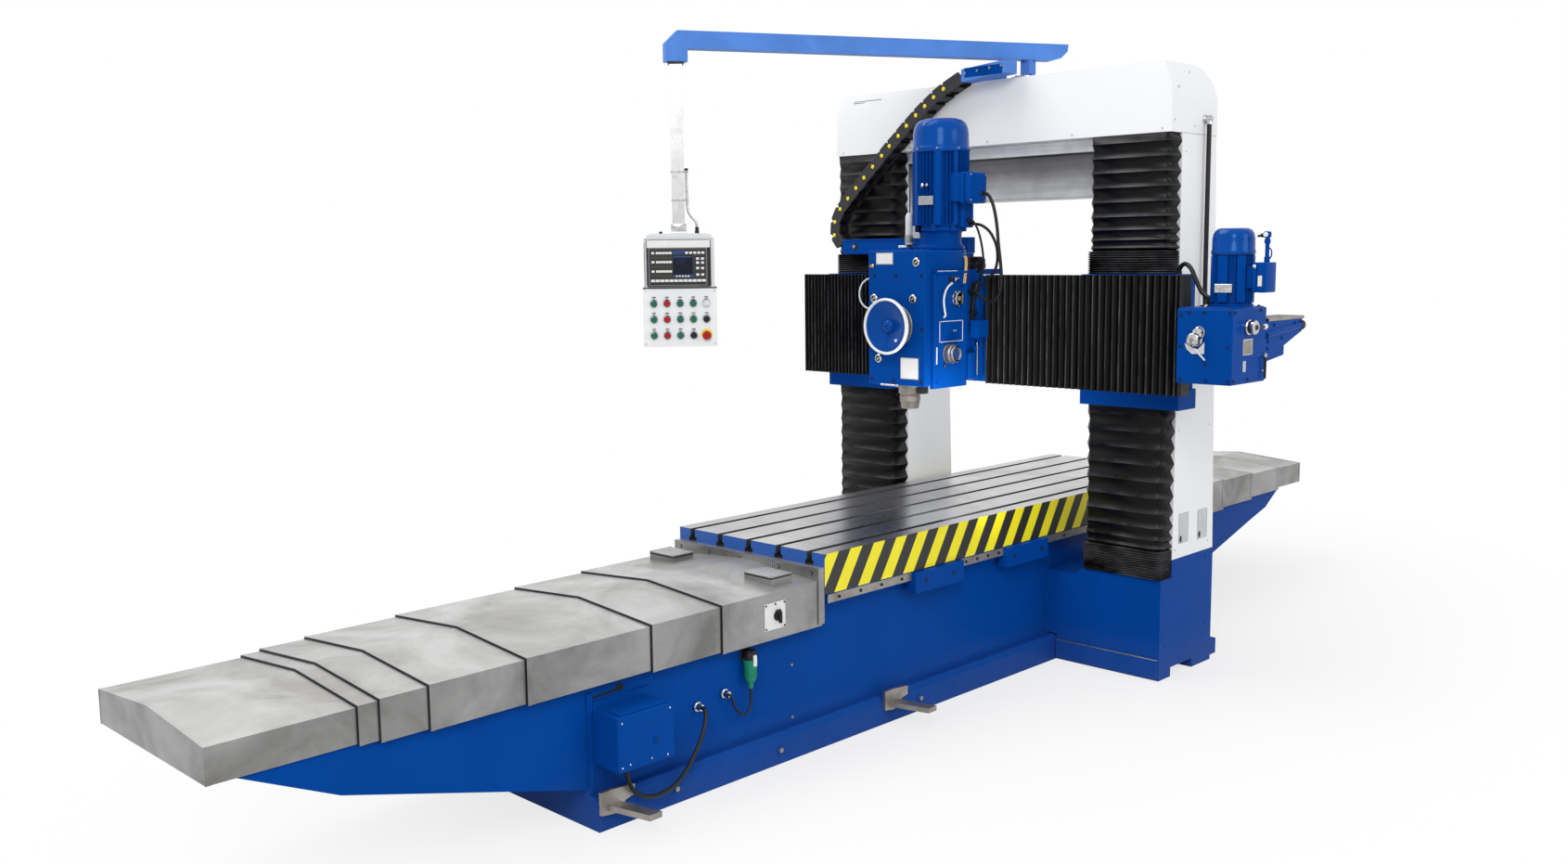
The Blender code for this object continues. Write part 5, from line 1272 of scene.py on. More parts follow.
cover.turned([(0.006, -0.001), (0.006, 0.01), (0.0035, 0.012), (0.0035, 0.018), (0.0, 0.019)], brass,
    side(-0.57, 1.509), 8)
cover.on("head")
knurl = blades("dial_knurl", 40, 0.0448, (0.002, 0.003, 0.011), tuple(side(-0.533, 1.566, 0.024).translation),
    bare_steel, (0, radians(90), 0))
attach(knurl, "head")
COVER_SCREWS = [(-0.628, 1.936), (-0.402, 1.936), (-0.402, 1.76), (-0.402, 1.56), (-0.402, 1.43), (-0.628, 1.43)]
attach(repeat("cover_screws", cap_screw(0.006), [side(y, z) for y, z in COVER_SCREWS], blue_paint), "head")

# %% [markdown]
# The spindle's nose is a bright taper with two drive keys. Small parts sit round it:
# a collar with a dark block beside the nose, and on the left a sight tube for oil with its spring.

# %% Spindle nose and sight tube
nose = Piece("spindle_nose")
down_place = upright(-0.016, -0.595)
nose.turned([(0.0225, 1.2972), (0.04, 1.2972), (0.0425, 1.3), (0.047, 1.33), (0.05, 1.334), (0.05, 1.36),
    (0.047, 1.362), (0.047, 1.366), (0.052, 1.368), (0.055, 1.372), (0.055, 1.4165), (0.0125, 1.4165),
    (0.0125, 1.3672)], bare_steel, down_place, 64, ring=True)
for spread in (0, 180):
    key_place = down_place @ spin(spread + 40)
    nose.block((0.027, -0.0075, 1.2975), (0.0415, 0.0075, 1.312), black_nylon, 0.0012, key_place)
nose.on("spindle", "spindle")
collar = Piece("spindle_collar")
collar.turned([(0.058, 1.403), (0.07, 1.403), (0.072, 1.406), (0.072, 1.4172), (0.058, 1.4172)], bare_steel,
    down_place, 48, ring=True)
collar.block((0.044, -0.618, 1.372), (0.08, -0.572, 1.4168), black_nylon, 0.004, None, 2)
collar.on("head")

sight = Piece("sight_tube")
stand = upright(-0.15, -0.44)
sight.turned([(0.0, 2.06), (0.026, 2.06), (0.026, 2.072), (0.014, 2.08), (0.014, 2.09)], black_nylon, stand, 20)
sight.block((-0.196, -0.47, 2.06), (-0.15, -0.41, 2.086), white_plastic, 0.003)
sight.block((-0.186, -0.485, 2.06), (-0.11, -0.455, 2.076), blue_paint, 0.003)
sight.turned([(0.017, 2.09), (0.018, 2.094), (0.018, 2.226), (0.014, 2.238), (0.009, 2.244)], clear_hose, stand,
    24)
sight.tube([(-0.15, -0.44, 2.07), (-0.15, -0.44, 2.366)], 0.0068, bright_metal, 14)
spring = [(-0.15 + 0.0205 * cos(a), -0.44 + 0.0205 * sin(a), 2.096 + 0.0068 * a / (2 * pi))
    for a in (2 * pi * k / 14 for k in range(14 * 6))]
sight.tube(spring, 0.0022, bare_steel, 8)
sight.on("head")
print("head fittings made;", len(PIECES), "pieces so far")

# %% [markdown]
# The feed gearbox at the rail's right-hand end is driven by a smaller motor of the same kind.
# Its motor is turned and bladed like the main one. The knob on its front is a cast cam with a pointer,
# and small plain plates sit on its right side.

# %% Feed motor
FEED_X, FEED_Y, FEED_BASE, FEED_LIP, FEED_TOP = 1.384, -0.08, 1.7973, 2.036, 2.14
feed = Piece("feed_drive_motor")
axis = upright(FEED_X, FEED_Y)
feed.turned([(0.0905, FEED_BASE), (0.0905, 1.81), (0.083, 1.814), (0.079, 1.82), (0.079, FEED_LIP)], blue_paint,
    axis, 56)
# A near-black ring under the cowl's lip is painted shade in the gap.
feed.turned([(0.0885, FEED_LIP - 0.013), (0.09, FEED_LIP - 0.0125), (0.09, FEED_LIP - 0.0105),
    (0.0885, FEED_LIP - 0.01)], seam_and_shade_black, axis, 48, ring=True)
feed.turned([(0.088, FEED_LIP - 0.012), (0.0935, FEED_LIP - 0.008), (0.0945, FEED_LIP - 0.002),
    (0.0945, FEED_LIP + 0.006), (0.0915, FEED_LIP + 0.012), (0.0905, FEED_LIP + 0.06), (0.087, FEED_LIP + 0.078),
    (0.079, FEED_LIP + 0.094), (0.064, FEED_TOP), (0.0, FEED_TOP + 0.0003)], gloss_blue, axis, 64)
for spread, wide in ((-92, 0.044), (-40, 0.04), (10, 0.03), (60, 0.03), (120, 0.04), (180, 0.04), (-140, 0.034)):
    feed.block((0.07, -wide / 2, 1.818), (0.0925, wide / 2, FEED_LIP - 0.014), blue_paint, 0.003, axis
        @ spin(spread))
feed.block((1.462, -0.116, 1.88), (1.504, -0.044, 1.976), blue_paint, 0.004)
feed.block((1.4965, -0.132, 1.8625), (1.5175, -0.032, 1.992), blue_paint, 0.006, None, 3)
feed.block((1.518, -0.132, 1.8625), (1.5605, -0.032, 1.992), blue_paint, 0.006, None, 3)
feed.turned([(0.012, 1.99), (0.012, 2.014), (0.009, 2.018), (0.009, 2.07), (0.013, 2.074), (0.013, 2.088),
    (0.01, 2.092), (0.01, 2.1)], blue_paint, upright(1.5385, -0.08), 20)
feed.block((1.522, -0.094, 2.096), (1.552, -0.066, 2.124), blue_paint, 0.008, None, 3)
feed.turned([(0.009, -0.002), (0.009, 0.01), (0.005, 0.016), (0.005, 0.028), (0.0, 0.03)], black_nylon,
    facing((1.522, -0.08, 2.108), (-1, 0, -0.15)), 14)
feed.turned([(0.0105, -0.001), (0.0105, 0.004), (0.008, 0.006), (0.0, 0.006)], white_plastic,
    to_front(1.537, -0.094, 2.11), 20)
loop = [(1.548 + 0.011 * cos(a), -0.08, 2.03 + 0.022 * sin(a)) for a in (2 * pi * k / 20 for k in range(21))]
feed.tube(loop, 0.003, blue_paint, 8)
feed.turned([(0.0085, -0.001), (0.0085, 0.003), (0.006, 0.005), (0.0, 0.0055)], bright_metal,
    to_front(1.508, -0.132, 1.974), 14)
feed.block((1.5245, -0.1335, 1.889), (1.5445, -0.1315, 1.935), brass, 0.0004)
feed.block((1.5262, -0.134, 1.8907), (1.5428, -0.133, 1.9333), white_plastic, 0.0003)
feed.block((1.349, -0.1765, 1.862), (1.428, -0.1725, 1.899), bright_metal, 0.0008, spin_at(1.388, -0.1745, 3))
feed.on("rail", "feed_motor")
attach(blades("feed_motor_fins", 36, 0.084, (0.014, 0.0026, 0.206), (FEED_X, FEED_Y, 1.92), blue_paint), "rail")

# %% Feed gearbox fittings
GEAR_FRONT, GEAR_RIGHT, GEAR_TOP = -0.3, 1.5, 1.797


def gear_front(x, z):
    return to_front(x, GEAR_FRONT, z)


def gear_side(y, z):
    return to_right(GEAR_RIGHT, y, z)


gear = Piece("feed_gearbox_fittings")
gear.block((1.243, GEAR_FRONT - 0.0015, 1.474), (1.498, GEAR_FRONT + 0.004, 1.793), blue_paint, 0.002)
gear.block((1.252, -0.292, GEAR_TOP - 0.001), (1.49, 0.008, GEAR_TOP + 0.004), blue_paint, 0.002)
shape = [(1.281, 1.646), (1.292, 1.62), (1.317, 1.601), (1.373, 1.602), (1.374, 1.652), (1.345, 1.622),
    (1.318, 1.628)]
gear.plate([(x, z) for x, z in shape], 0.0008, 0.0035, white_plastic, to_front(0, GEAR_FRONT, 0))
knob_place = gear_front(1.338, 1.664)
gear.turned([(0.03, 0.0), (0.03, 0.01), (0.024, 0.014), (0.024, 0.03), (0.028, 0.034), (0.028, 0.044),
    (0.022, 0.048), (0.0, 0.048)], bright_metal, knob_place, 32)
gear.turned([(0.0265, 0.0), (0.0265, 0.01), (0.0235, 0.014), (0.0235, 0.026), (0.02, 0.03), (0.0, 0.03)],
    bright_metal, gear_front(1.351, 1.695), 28)
# The knobs' grooves are near-black blocks, painted shade.
for k in range(6):
    turn = knob_place @ spin(60 * k + 15)
    gear.block((0.021, -0.0035, 0.012), (0.0295, 0.0035, 0.04), seam_and_shade_black, 0.001, turn)
    turn = gear_front(1.351, 1.695) @ spin(60 * k)
    gear.block((0.018, -0.003, 0.012), (0.0245, 0.003, 0.0305), seam_and_shade_black, 0.001, turn)
gear.turned(stud(0.01, 0.048, 0.052, 0.053), bare_steel, knob_place, 16)
gear.block((-0.006, -0.026, 0.034), (0.006, 0.026, 0.052), bright_metal, 0.003, knob_place
    @ Matrix.Rotation(0.6, 4, "Z"))
gear.tube([(1.34, GEAR_FRONT - 0.02, 1.622), (1.389, GEAR_FRONT - 0.024, 1.577)], [0.005, 0.0034], white_plastic,
    12)
gear.block((GEAR_RIGHT - 0.001, -0.201, 1.594), (GEAR_RIGHT + 0.0024, -0.113, 1.664), bright_metal, 0.001)
gear.block((GEAR_RIGHT + 0.002, -0.196, 1.599), (GEAR_RIGHT + 0.0032, -0.118, 1.659), bare_steel, 0.0006)
gear.block((GEAR_RIGHT - 0.001, -0.198, 1.523), (GEAR_RIGHT + 0.0018, -0.171, 1.57), bright_metal, 0.0005)
gear.tube([(GEAR_RIGHT + 0.012, -0.013, 1.588), (GEAR_RIGHT + 0.013, -0.01, 1.56),
    (GEAR_RIGHT + 0.012, -0.006, 1.482)], [0.0065, 0.006, 0.0045], black_nylon, 12)
gear.turned([(0.01, -0.001), (0.01, 0.016), (0.007, 0.02), (0.0, 0.021)], bright_metal, gear_side(-0.014, 1.586),
    16)
gear.turned(stud(0.0055, 0.0, 0.012, 0.014), bright_metal, gear_side(-0.03, 1.52), 12)
gear.turned([(0.014, 1.796), (0.014, 1.812), (0.011, 1.816), (0.0, 1.816)], black_nylon, upright(1.262, -0.045),
    16)
gear.turned(stud(0.008, 1.8, 1.812, 1.814), bright_metal, upright(1.352, -0.256), 12)
gear.block((1.36, 0.06, 1.7378), (1.486, 0.42, 1.744), chain_grey, 0.001)
gear.block((1.4855, 0.06, 1.73), (1.4925, 0.418, 1.744), bare_steel, 0.001)
gear.turned([(0.026, 0.0), (0.026, 0.012), (0.02, 0.02), (0.0, 0.021)], black_nylon,
    facing((1.418, 0.4245, 1.7), (0, 1, 0)), 28)
gear.tube([(1.484, 0.04, 1.668), (1.486, 0.2, 1.684), (1.488, 0.385, 1.7)], [0.019, 0.017, 0.015], blue_paint, 20)
gear.turned([(0.021, -0.006), (0.021, 0.01), (0.015, 0.016), (0.0, 0.017)], black_nylon,
    to_right(1.488, 0.396, 1.701), 24)
for y, z in ((0.06, 1.608), (0.06, 1.64), (0.2, 1.65), (0.33, 1.712), (0.12, 1.712)):
    gear.turned(stud(0.0085, -0.001, 0.006, 0.007), blue_paint, to_right(1.49, y, z), 6)
gear.on("rail")
front_bolts = [(1.262, 1.768), (1.297, 1.778), (1.37, 1.78), (1.488, 1.78), (1.262, 1.632), (1.48, 1.635),
    (1.378, 1.556), (1.262, 1.488), (1.384, 1.488), (1.486, 1.488)]
places = [gear_front(x, z) for x, z in front_bolts]
places += [facing((x, y, GEAR_TOP + 0.004), (0, 0, 1), (0, 1, 0)) for x, y in ((1.272, -0.276), (1.372, -0.28),
    (1.474, -0.276), (1.474, -0.008), (1.276, -0.15), (1.476, -0.15))]
places += [gear_side(y, z) for y, z in ((-0.28, 1.78), (-0.28, 1.488), (-0.04, 1.784), (-0.15, 1.488))]
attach(repeat("feed_gearbox_bolts", cap_screw(0.0072), places, black_nylon), "rail")

crank = Piece("feed_crank")
hub = gear_side(-0.165, 1.715)
crank.turned([(0.033, 0.0004), (0.033, 0.01), (0.027, 0.014), (0.027, 0.024), (0.03, 0.028), (0.03, 0.038),
    (0.026, 0.043), (0.0, 0.045)], bright_metal, hub, 32)
crank.tube([(1.534, -0.165, 1.715), (1.534, -0.11, 1.715), (1.535, -0.078, 1.7146)], [0.0085, 0.0075, 0.0062],
    black_nylon, 14)
crank.turned(stud(0.012, 0.044, 0.047, 0.048), black_nylon, hub, 6)
# A near-black ring on the hub is painted shade in its groove.
crank.turned([(0.0275, 0.0135), (0.0275, 0.0245)], seam_and_shade_black, hub, 32)
crank.turned([(0.0, -0.001), (0.007, 0.0), (0.0115, 0.006), (0.0125, 0.012), (0.0105, 0.019), (0.005, 0.0225),
    (0.0, 0.0235)], white_plastic, facing((1.535, -0.0795, 1.7146), (0, 1, 0)), 20)
crank.on("feed_lever", "feed_lever")
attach(blades("crank_knurl", 20, 0.03, (0.003, 0.0046, 0.012), tuple(hub @ Vector((0, 0, 0.032))),
    bright_metal, (0, radians(90), 0)), "feed_lever")

# %% [markdown]
# Short hoses and cables fill the places behind the castings. They're held at both ends,
# so each is a cord of its own length, on a smooth line that leaves its fitting straight, and its length is
# printed.

# %% Hoses and cables on the rail and the head
def small_hose(name, body, route, radius, finish):
    line = smooth_route(route, 5)
    piece = Piece(name)
    piece.tube(line, radius, finish, 14)
    for a, b in ((line[0], line[1]), (line[-1], line[-2])):
        along = (b - a).normalized()
        piece.tube([a - along * 0.001, a + along * 0.014], radius * 1.45, black_nylon, 14)
    declare_cord(piece.on(body), line, line[0])


small_hose("gear_hose", "rail", [(1.055, 0.045, 1.9385), (1.056, 0.044, 1.952), (1.072, 0.04, 1.976),
    (1.1, 0.03, 1.984), (1.135, 0.014, 1.962), (1.168, -0.006, 1.918), (1.205, -0.026, 1.868),
    (1.24, -0.04, 1.842), (1.262, -0.045, 1.83), (1.262, -0.045, 1.815)], 0.0105, black_rubber)
CABLE_A = [(0.1382, -0.33, 2.185), (0.156, -0.33, 2.185), (0.205, -0.326, 2.178), (0.248, -0.314, 2.145),
    (0.276, -0.302, 2.085), (0.28, -0.294, 2.02), (0.26, -0.286, 1.962), (0.222, -0.284, 1.922),
    (0.186, -0.286, 1.892), (0.162, -0.291, 1.862), (0.154, -0.294, 1.848)]
CABLE_B = [(0.1382, -0.352, 2.205), (0.154, -0.352, 2.205), (0.182, -0.35, 2.19), (0.204, -0.342, 2.14),
    (0.212, -0.326, 2.07), (0.204, -0.304, 2.0), (0.186, -0.29, 1.95), (0.168, -0.288, 1.915),
    (0.158, -0.291, 1.892)]
small_hose("limit_cable_a", "head", CABLE_A, 0.007, black_rubber)
small_hose("limit_cable_b", "head", CABLE_B, 0.0055, black_rubber)
bundle = Piece("cable_bundle")
for k in range(7):
    shift, lift = 0.013 * sin(k * 2.3), 0.01 * cos(k * 1.9)
    line = smooth_route([(0.03 + 0.012 * k, -0.215, 2.005 + lift), (0.05 + 0.012 * k, -0.216, 2.008 + lift),
        (0.11 + shift + 0.004 * k, -0.222, 2.01 + lift), (0.15 + shift, -0.246, 1.985 + lift),
        (0.158 + shift * 0.6, -0.276, 1.93), (0.148 + shift * 0.5, -0.3, 1.86),
        (0.14 + shift * 0.4, -0.306, 1.78), (0.138 + shift * 0.3, -0.304, 1.7)], 4)
    bundle.tube(line, 0.0085 if k % 2 else 0.0065, black_rubber, 10)
for z in (1.75, 1.84):
    bundle.block((0.118, -0.322, z), (0.166, -0.29, z + 0.01), black_nylon, 0.004)
bundle.block((0.06, -0.262, 1.9665), (0.132, -0.18, 1.998), black_nylon, 0.008, None, 2)
bundle.block((0.126, -0.3, 1.7), (0.146, -0.24, 1.9), black_nylon, 0.006, None, 2)
bundle.block((0.138, -0.352, 1.43), (0.158, -0.3, 1.56), blue_paint, 0.006, None, 2)
for k, (x, colour) in enumerate(((0.1508, yellow_plastic), (0.152, white_plastic), (0.15, red_plastic),
        (0.153, black_rubber))):
    y = -0.386 + 0.01 * k
    line = smooth_route([(x - 0.004, y, 2.03), (x + 0.004, y, 2.024), (x + 0.01, y - 0.006, 1.99),
        (x + 0.012, y - 0.014, 1.95), (x + 0.011, y - 0.018, 1.915), (x + 0.01, y - 0.019, 1.9)])
    bundle.tube(line, 0.0022, colour, 8)
bundle.tube([(0.164, -0.296, 1.6), (0.164, -0.296, 1.448)], 0.0045, bright_metal, 12)
bundle.block((0.15, -0.304, 1.592), (0.17, -0.288, 1.612), bright_metal, 0.003)
bundle.on("head")

# %% Chain bar's front
bar = Piece("chain_bar_fittings")
bar.turned(stud(0.019, -0.001, 0.002, 0.0025), black_nylon, to_front(-0.8, -0.11, 2.086), 24)
bar.turned(stud(0.01, 0.002, 0.009, 0.0095), bare_steel, to_front(-0.8, -0.11, 2.086), 6)
bar.block((-0.888, -0.113, 2.047), (-0.3, -0.1095, 2.055), blue_paint, 0.001)
bar.block((-0.888, -0.113, 2.116), (-0.3, -0.1095, 2.124), blue_paint, 0.001)
bar.block((-0.893, -0.108, 2.06), (-0.868, -0.028, 2.128), black_nylon, 0.003)
bar.on("head")
guide = Piece("chain_guide_fittings")
guide.block((-0.06, -0.1155, 2.915), (0.17, -0.1145, 2.962), blue_paint, 0.0)
for x in (-0.055, 0.02, 0.095, 0.165):
    guide.turned(stud(0.007, -0.0005, 0.004, 0.0045), bare_steel, to_front(x, -0.1155, 2.945 + 0.08 * (x - 0.05)),
        6)
guide.on("frame")

# %% [markdown]
# The control pendant is a sheet-metal case. Its screen stands in a dark frame with rows of keys,
# and the panel below it has three rows of lit buttons.
# The keys are one small rounded key, set by the tree on a grid of places.

# %% Pendant
POLE_X, POLE_Y = -0.69, -1.48
PENDANT_TURN = 48
turned_case = upright(POLE_X, POLE_Y) @ spin(PENDANT_TURN)
SCREEN_FACE = -0.095


def on_screen(u, z, out=0.0):
    return turned_case @ to_front(u, SCREEN_FACE - out, z)


def screen_box(piece, u0, u1, z0, z1, out, finish, bevel=0.0006):
    piece.block((u0, SCREEN_FACE - out, z0), (u1, SCREEN_FACE + 0.001, z1), finish, bevel, turned_case)


case = Piece("pendant_front")
for sizes_and_finish in (
        (-0.149, 0.143, 2.085, 2.119, 0.0015, white_plastic, 0.001),
        (-0.144, 0.13, 1.909, 2.0845, 0.0012, frame_grey, 0.001),
        (-0.1385, 0.124, 1.914, 2.08, 0.002, chain_grey, 0.001),
        (-0.03, 0.062, 1.961, 2.0505, 0.0034, seam_and_shade_black, 0.001),
        (-0.026, 0.058, 1.965, 2.0465, 0.004, screen_glass, 0.0004),
        (-0.026, 0.058, 2.039, 2.046, 0.0043, blue_strip, 0.0002),
        (-0.03, 0.024, 2.054, 2.072, 0.003, blue_strip, 0.0004),
        (-0.03, 0.068, 1.9485, 1.959, 0.003, blue_strip, 0.0004)):
    screen_box(case, *sizes_and_finish)
for u in (-0.0165, -0.003, 0.0105, 0.024, 0.0375):
    screen_box(case, u, u + 0.009, 1.9505, 1.957, 0.0036, white_plastic, 0.0003)
for z in (2.03, 2.02, 2.01):
    screen_box(case, -0.018, 0.03, z, z + 0.001, 0.0043, blue_strip, 0.0)
case.block((-0.1635, -0.0757, 1.902), (-0.161, 0.054, 2.11), seam_and_shade_black, 0.0, turned_case)
for u in (-0.155, 0.152):
    case.turned(stud(0.005, 0, 0.002, 0.003), bright_metal, turned_case @ to_front(u, -0.0752, 2.128), 12)
case.on("pendant")


def key_shape(wide, tall, high=0.0024):
    shape = bmesh.new()
    bmesh.ops.create_cube(shape, size=1.0)
    shape.transform(Matrix.Translation((0, 0, high / 2)) @ Matrix.Diagonal((wide, tall, high, 1)))
    bmesh.ops.bevel(shape, geom=shape.edges[:], offset=0.0007, segments=1, profile=0.5, affect="EDGES")
    return shape


white_keys, wide_keys, olive_keys, dark_keys = [], [], [], []
for k in range(5):
    white_keys.append(on_screen(0.035 + 0.0187 * k, 2.061, 0.002))
for z in (2.0605, 2.019, 1.976):
    white_keys.append(on_screen(-0.1215, z, 0.002))
    white_keys += [on_screen(-0.101 + 0.015 * k, z, 0.002) for k in range(5)]
    olive_keys += [on_screen(-0.1215 + 0.0158 * k, z - 0.0205, 0.002) for k in range(6)]
for z in (2.0337, 2.015, 1.99, 1.96):
    white_keys += [on_screen(u, z, 0.002) for u in (0.0847, 0.1075)]
for k in range(12):
    wide_keys.append(on_screen(-0.123 + 0.0214 * k, 1.933, 0.002))
    dark_keys.append(on_screen(-0.126 + 0.0214 * k, 1.9195, 0.002))
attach(repeat("pendant_white_keys", key_shape(0.0136, 0.0104), white_keys, white_plastic), "pendant")
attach(repeat("pendant_wide_keys", key_shape(0.0188, 0.0112), wide_keys, white_plastic), "pendant")
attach(repeat("pendant_olive_keys", key_shape(0.012, 0.005, 0.0018), olive_keys, olive_mark), "pendant")
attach(repeat("pendant_dark_keys", key_shape(0.015, 0.005, 0.0018), dark_keys, black_nylon), "pendant")

# %% Pendant buttons
BREAK, PANEL_LOW, LEAN = 1.8997, 1.628, 0.05
SLOPE = atan2(LEAN, BREAK - PANEL_LOW)


def on_panel(u, drop, out=0.0):
    """A place on the leaning panel: u to the right, drop below its top edge."""
    y = -0.08 - drop * tan(SLOPE)
    normal = Vector((0, -cos(SLOPE), -sin(SLOPE)))
    return turned_case @ facing(Vector((u, y, BREAK - drop)) + normal * out, normal)


buttons = Piece("pendant_buttons")
COLOURS = (("green", "red", "green", "green", "select"),
    ("green", "red", "green", "green", "black"),
    ("green", "red", "green", "black", "stop"))
PAINTS = {"green": green_plastic, "red": red_plastic, "black": black_nylon}
for row, drop in enumerate((0.069, 0.142, 0.216)):
    for column, colour in enumerate(COLOURS[row]):
        place = on_panel((column - 2) * 0.061, drop)
        buttons.turned([(0.0185, -0.001), (0.0185, 0.01), (0.0165, 0.0145), (0.0152, 0.0175), (0.0152, -0.001)],
            bright_metal, place, 28, ring=True)
        if colour == "select":
            buttons.turned(stud(0.0155, 0.014, 0.0185, 0.019), white_plastic, place, 24)
            buttons.block((-0.0035, -0.013, 0.018), (0.0035, 0.013, 0.026), white_plastic, 0.0015, place)
        elif colour == "stop":
            buttons.turned([(0.0255, -0.001), (0.0255, 0.004), (0.024, 0.0055), (0.0, 0.0055)], yellow_plastic,
                place, 36)
            buttons.turned([(0.012, 0.004), (0.012, 0.016), (0.0195, 0.02), (0.0205, 0.0245), (0.0185, 0.029),
                (0.0, 0.0305)], red_plastic, place, 36)
        else:
            buttons.turned([(0.0142, 0.014), (0.0142, 0.02), (0.0125, 0.0222), (0.0, 0.023)], PAINTS[colour],
                place, 24)
        if colour != "stop":
            for side_of in (1, -1):
                at = side_of * 0.0295
                buttons.block((-0.0085, at - 0.005, 0), (0.0085, at - 0.0006, 0.0007), chain_grey, 0.0002, place)
for u in (-0.16, 0.16):
    for drop in (0.014, 0.259):
        buttons.turned(stud(0.0045, 0, 0.0016, 0.0024), bright_metal, on_panel(u, drop), 10)
buttons.block((-0.1725, -0.0815, BREAK - 0.004), (0.1725, 0.056, BREAK + 0.001), seam_and_shade_black, 0.0, turned_case)
for u in (-0.13, -0.095, -0.06):
    place = turned_case @ facing((u, -0.02, PANEL_LOW), (0, 0, -1), (0, 1, 0))
    buttons.turned(stud(0.012, -0.001, 0.003, 0.003), black_nylon, place, 16)
buttons.on("pendant")

clamp = Piece("pendant_clamp")
clamp.block((-0.04, -0.04, 2.1505), (0.04, 0.04, 2.16), white_paint, 0.002, turned_case)
clamp.block((-0.036, -0.036, 2.16), (0.036, 0.036, 2.196), bright_metal, 0.004, turned_case, 2)
clamp.turned([(0.01, 2.1495), (0.01, 2.164), (0.007, 2.17), (0.0, 2.17)], black_nylon, turned_case
    @ upright(0.085, -0.01), 16)
clamp.turned(stud(0.008, 2.1495, 2.16, 2.162), black_nylon, turned_case @ upright(-0.085, -0.01), 16)
for z in (2.3, 2.43):
    clamp.block((-0.0325, -0.0325, z), (0.049, 0.0325, z + 0.01), bright_metal, 0.002, turned_case)
clamp.on("pendant")
pole_hose = [(0.085, -0.01, 2.166), (0.085, -0.01, 2.182), (0.079, -0.012, 2.206), (0.06, -0.016, 2.228),
    (0.046, -0.018, 2.254), (0.041, -0.019, 2.3), (0.04, -0.019, 2.42), (0.04, -0.019, 2.45)]
small_hose("pendant_hose", "pendant", [turned_case @ Vector(point) for point in pole_hose], 0.006, bright_metal)
print("pendant:", len(white_keys) + len(wide_keys) + len(olive_keys) + len(dark_keys), "keys")

# %% [markdown]
# The way covers are folded sheet. Where one slides into the next, a black wiper closes the gap,
# and the lip is folded back on itself, so each front edge shows a thin bright rim over a dark line.

# %% Way covers: wipers, lips and rivets
COVER_RISE = 0.034


def roof(half, top, low, off=0.0):
    """Outline of a cover from its left skirt over the ridge to its right skirt."""
    eave = top - COVER_RISE
    return [(-half - off, low), (-half - off, eave + off * 0.6), (0.0, top + off), (half + off, eave + off * 0.6),
        (half + off, low)]


def roof_band(piece, y0, y1, outer, inner, finish):
    """Closed band between two outlines, from y0 to y1."""
    ring = outer + list(reversed(inner))
    piece.skin([[(x, y, z) for x, z in ring] for y in (y0, y1)], finish)


FRONT_BODIES = ["frame", *("front_cover_%d" % k for k in range(2, 7)), "table"]
REAR_BODIES = ["frame", "rear_cover_2", "rear_cover_3", "table"]
LAST_HALF = 0.442     # the last cover has a flange, so its box isn't its roof's size
for family, bodies, way, last_top in (("front", FRONT_BODIES, 1, 0.746), ("rear", REAR_BODIES, -1, 0.732)):
    before = None
    for number, body in enumerate(bodies, 1):
        low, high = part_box("way_cover_%s_%d" % (family, number))
        half, top = (high[0], high[2]) if number < len(bodies) else (LAST_HALF, last_top)
        bottom = low[2]
        edge = low[1] if way > 0 else high[1]
        rim = Piece("cover_rim_%s_%d" % (family, number))
        y0, y1 = sorted((edge - way * 0.0004, edge + way * 0.0165))
        roof_band(rim, y0, y1, roof(half, top, bottom - 0.0004, 0.001), roof(half, top, bottom - 0.0004, -0.0008),
            stainless_sheet)
        if before:
            y0, y1 = sorted((edge - way * 0.003, edge + way * 0.006))
            roof_band(rim, y0, y1, roof(half, top, bottom + 0.001, -0.0012),
                roof(before[0], before[2], bottom + 0.001, 0.0006), black_rubber)
        rim.on(body)
        before = high
        y = edge + way * 0.0085
        rivets = [facing((x, y, top - COVER_RISE * abs(x) / half + 0.001), (copysign(COVER_RISE / half, x), 0, 1),
            (0, 1, 0)) for x in (-0.36, -0.24, -0.12, 0.12, 0.24, 0.36)]
        rivets += [facing((side_sign * (half + 0.001), y, z), (side_sign, 0, 0))
            for z in (bottom + 0.03, bottom + 0.095) for side_sign in (-1, 1)]
        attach(repeat("cover_rivets_%s_%d" % (family, number), dome(0.0022), rivets, stainless_sheet), body)

# %% Cover beside the table: flange bolts, switch plate and box lids
flange = Piece("cover_flange_fittings")
# A near-black ring round each bolt is painted shade in its counterbore.
for x in (-0.405, -0.217, -0.022, 0.215, 0.407):
    flange.turned(stud(0.0085, -0.0005, 0.0012, 0.0012), seam_and_shade_black, to_front(x, -1.7573, 0.741), 16)
    flange.turned(stud(0.0058, 0.0, 0.005, 0.0056), bare_steel, to_front(x, -1.7573, 0.741), 6)
SWITCH = 0.4421
flange.block((SWITCH, -2.067, 0.562), (SWITCH + 0.0022, -1.95, 0.672), white_plastic, 0.0006)
for y, z in ((-2.06, 0.665), (-1.957, 0.665), (-2.06, 0.569), (-1.957, 0.569), (-2.008, 0.665)):
    flange.turned(stud(0.0042, 0.0, 0.003, 0.0036), black_nylon, to_right(SWITCH + 0.002, y, z), 8)
turn_place = to_right(SWITCH + 0.002, -1.996, 0.616)
flange.turned([(0.021, 0.0), (0.021, 0.004), (0.016, 0.006), (0.016, 0.012), (0.0, 0.012)], black_nylon,
    turn_place, 28)
flange.block((-0.006, -0.028, 0.01), (0.006, 0.02, 0.024), black_nylon, 0.003, turn_place, 2)
flange.block((-0.012, 0.008, 0.004), (0.012, 0.026, 0.014), black_nylon, 0.003, turn_place, 2)
